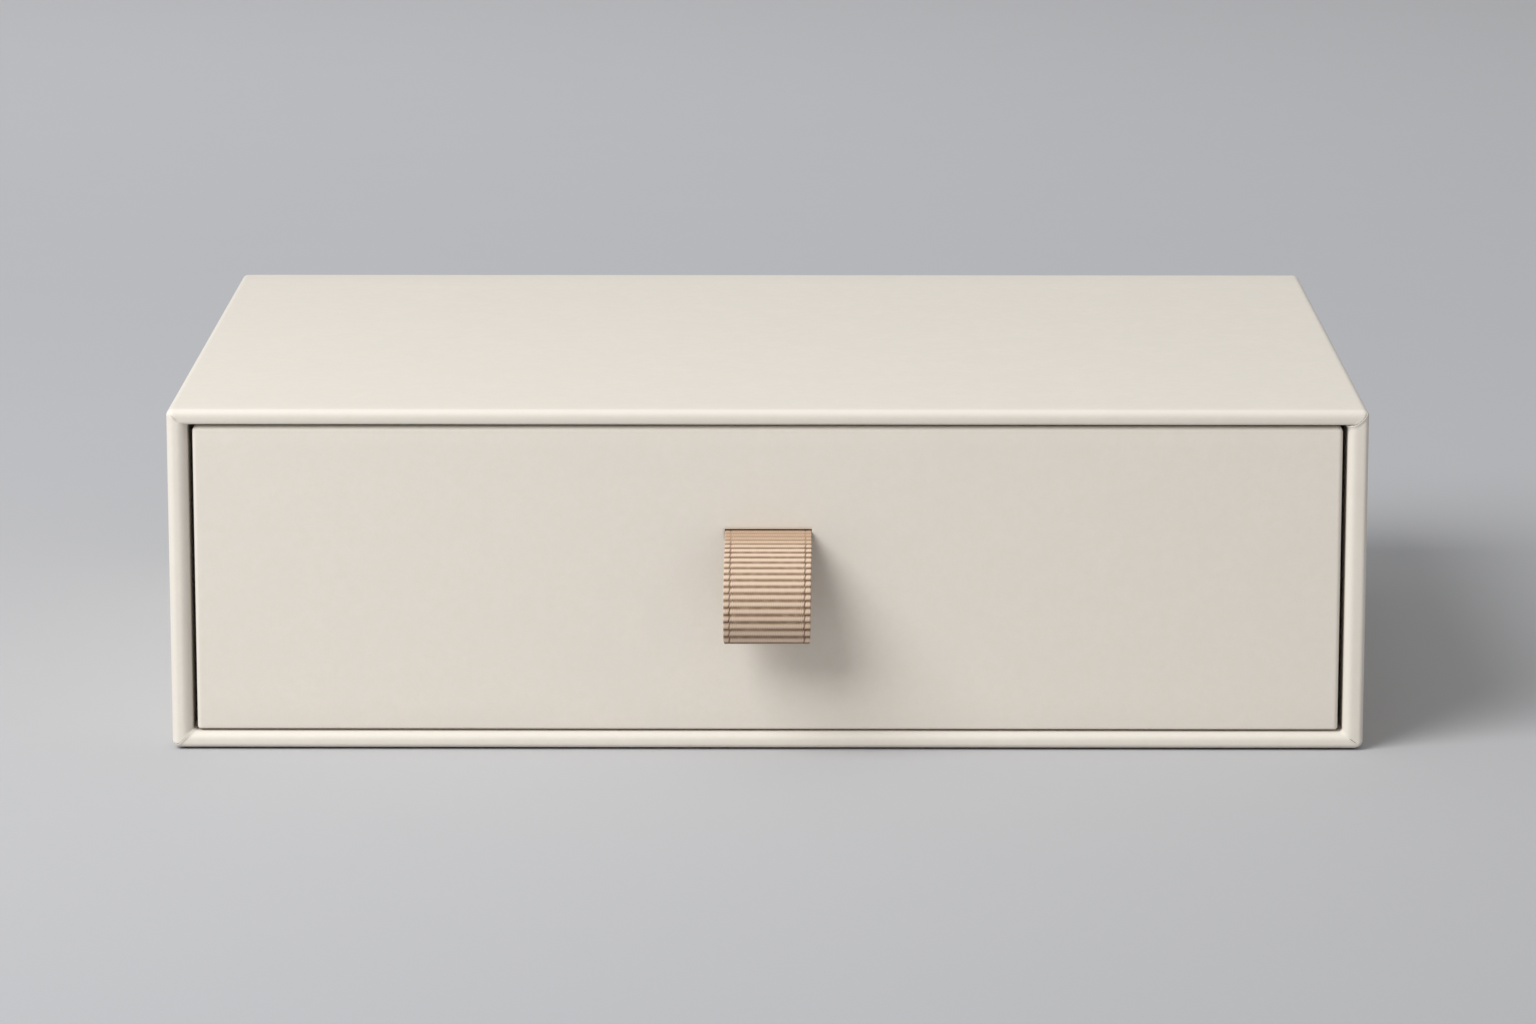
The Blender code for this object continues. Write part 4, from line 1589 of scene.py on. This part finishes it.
class Carcass:
    """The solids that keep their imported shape: boards, tapes and the sleeve's lining."""

    def dress(self) -> None:
        """Gives each of these nodes its material."""
        finishes = {
            "greyboard": GREYBOARD.material(),
            "kraft_tape": KRAFT_TAPE.material(),
            "inner_paper": INNER_PAPER.material(),
        }
        for row in frame["record"]["subparts"]:
            node = frame["nodes"][row["node"]]
            finish = finishes.get(row["material_slot"])
            if finish is None or node.hide_render:
                continue
            node.data.materials.clear()
            node.data.materials.append(finish)
            log.info("%s: %s", node.name, finish.name)


@dataclass
class Studio:
    """A pale floor, a large soft lamp on the left, even light all round, and the camera."""

    floor_r: float = 5.0
    floor_finish: StudioPaperFinish = StudioPaperFinish(
        "studio sweep",
        # the front, near and far tones are a painted falloff of the light
        front=(168, 169, 172),
        near=(188, 188, 190),
        far=(190, 191, 195),
        front_shade_reaches=(-0.42, -0.07),
        far_reaches=(0.05, 0.30),
    )
    lens: float = 133.423
    sensor: float = 36.0
    shift: float = -0.07
    clip: Pair = (0.05, 50.0)
    camera_at: Triple = (0.00451, -1.09579, 0.26069)
    pitch: float = 10.849
    yaw: float = 0.246
    key_aim: Triple = (0.0, 0.0, 0.03)
    key_from: Triple = (-0.55, -0.52, 0.68)
    key_distance: float = 1.4
    key_size: Pair = (0.95, 0.95)
    key_power: float = 18.8
    sky: float = 0.40
    sky_tint: Triple = (255, 253, 249)
    over_at: Triple = (-0.2, -0.2, 1.5)
    over_size: Pair = (2.0, 2.0)
    over_power: float = 2.7
    over_tint: Triple = (204, 227, 255)
    far_at: Triple = (-0.6, 1.0, 0.9)
    far_way: Triple = (0.3, 0.8, -0.7)
    far_size: Pair = (1.6, 0.8)
    far_power: float = 5.7
    far_tone: Triple = (184, 186, 190)

    def floor(self) -> None:
        """Lays the floor as a disc: rings of points at growing radii, flat at height 0."""
        turn = np.linspace(0, 2 * np.pi, 97)[None, :-1]
        radius = (self.floor_r * np.linspace(0, 1, 40) ** 2)[:, None]
        x, y = radius * np.cos(turn), radius * np.sin(turn)
        draft = Draft().add_grid(np.stack([x, y, 0 * x], axis=-1)[:, ::-1], ring=True)
        draft.make("studio_floor", self.floor_finish)

    def world(self) -> None:
        """Lights the scene evenly, and shows the far floor's tone to the camera."""
        world = bpy.data.worlds.new("studio air")
        bpy.context.scene.world = world
        world.use_nodes = True
        nodes, links = world.node_tree.nodes, world.node_tree.links
        seen = nodes.new("ShaderNodeLightPath")
        shown = nodes["Background"]
        shown.inputs["Color"].default_value = linear(self.sky_tint)
        shown.inputs["Strength"].default_value = self.sky
        pale = nodes.new("ShaderNodeBackground")
        pale.inputs["Color"].default_value = linear(self.far_tone)
        mix = nodes.new("ShaderNodeMixShader")
        links.new(seen.outputs["Is Camera Ray"], mix.inputs[0])
        links.new(shown.outputs[0], mix.inputs[1])
        links.new(pale.outputs[0], mix.inputs[2])
        links.new(mix.outputs[0], nodes["World Output"].inputs["Surface"])

    def lamp(
        self, name: str, place: Sequence[float], way: Sequence[float], size: Pair, power: float
    ) -> bpy.types.Light:
        """Hangs a soft lamp.

        Args:
            name: Its name.
            place: Its middle.
            way: Where it shines.
            size: Its two sides, which are a disc's diameters where they are equal.
            power: Its power in watts.

        Returns:
            The light.
        """
        light = bpy.data.lights.new(name, "AREA")
        light.shape = "DISK" if size[0] == size[1] else "RECTANGLE"
        light.size = size[0]
        if light.shape == "RECTANGLE":
            light.size_y = size[1]
        light.energy = power
        holder = placed(name, light)
        holder.location = place
        holder.rotation_mode = "QUATERNION"
        holder.rotation_quaternion = Vector(way).to_track_quat("-Z", "Y")
        return light

    def lamps(self) -> None:
        """Hangs the key on the left, a cool one above, and one that lights the far floor alone."""
        towards = np.array(self.key_from) / np.linalg.norm(self.key_from)
        key_at = np.array(self.key_aim) + self.key_distance * towards
        self.lamp("key", key_at.tolist(), (-towards).tolist(), self.key_size, self.key_power)
        over = self.lamp("over", self.over_at, (0.0, 0.0, -1.0), self.over_size, self.over_power)
        over.color = linear(self.over_tint)[:3]
        self.lamp("far", self.far_at, self.far_way, self.far_size, self.far_power)

    def camera(self) -> None:
        """Sets the camera at the photographed angle."""
        data = bpy.data.cameras.new("view")
        data.lens = self.lens
        data.sensor_width = self.sensor
        data.shift_y = self.shift
        data.clip_start, data.clip_end = self.clip
        made = placed("view", data)
        made.location = self.camera_at
        made.rotation_euler = (math.radians(90 - self.pitch), 0.0, math.radians(self.yaw))
        bpy.context.scene.camera = made

    def build(self) -> None:
        """Makes the camera first, then floor and lights."""
        self.camera()
        self.floor()
        self.world()
        self.lamps()
        bpy.context.scene.view_settings.view_transform = "Standard"


def main() -> None:
    """Builds the box's looks in order."""
    logging.basicConfig(level=logging.INFO, format="%(name)s: %(message)s")
    Studio().build()
    SleevePapers().build()
    DrawerPapers().build()
    RibbonPull().build()
    TailPatch().build()
    Carcass().dress()


if __name__ == "__main__":
    main()
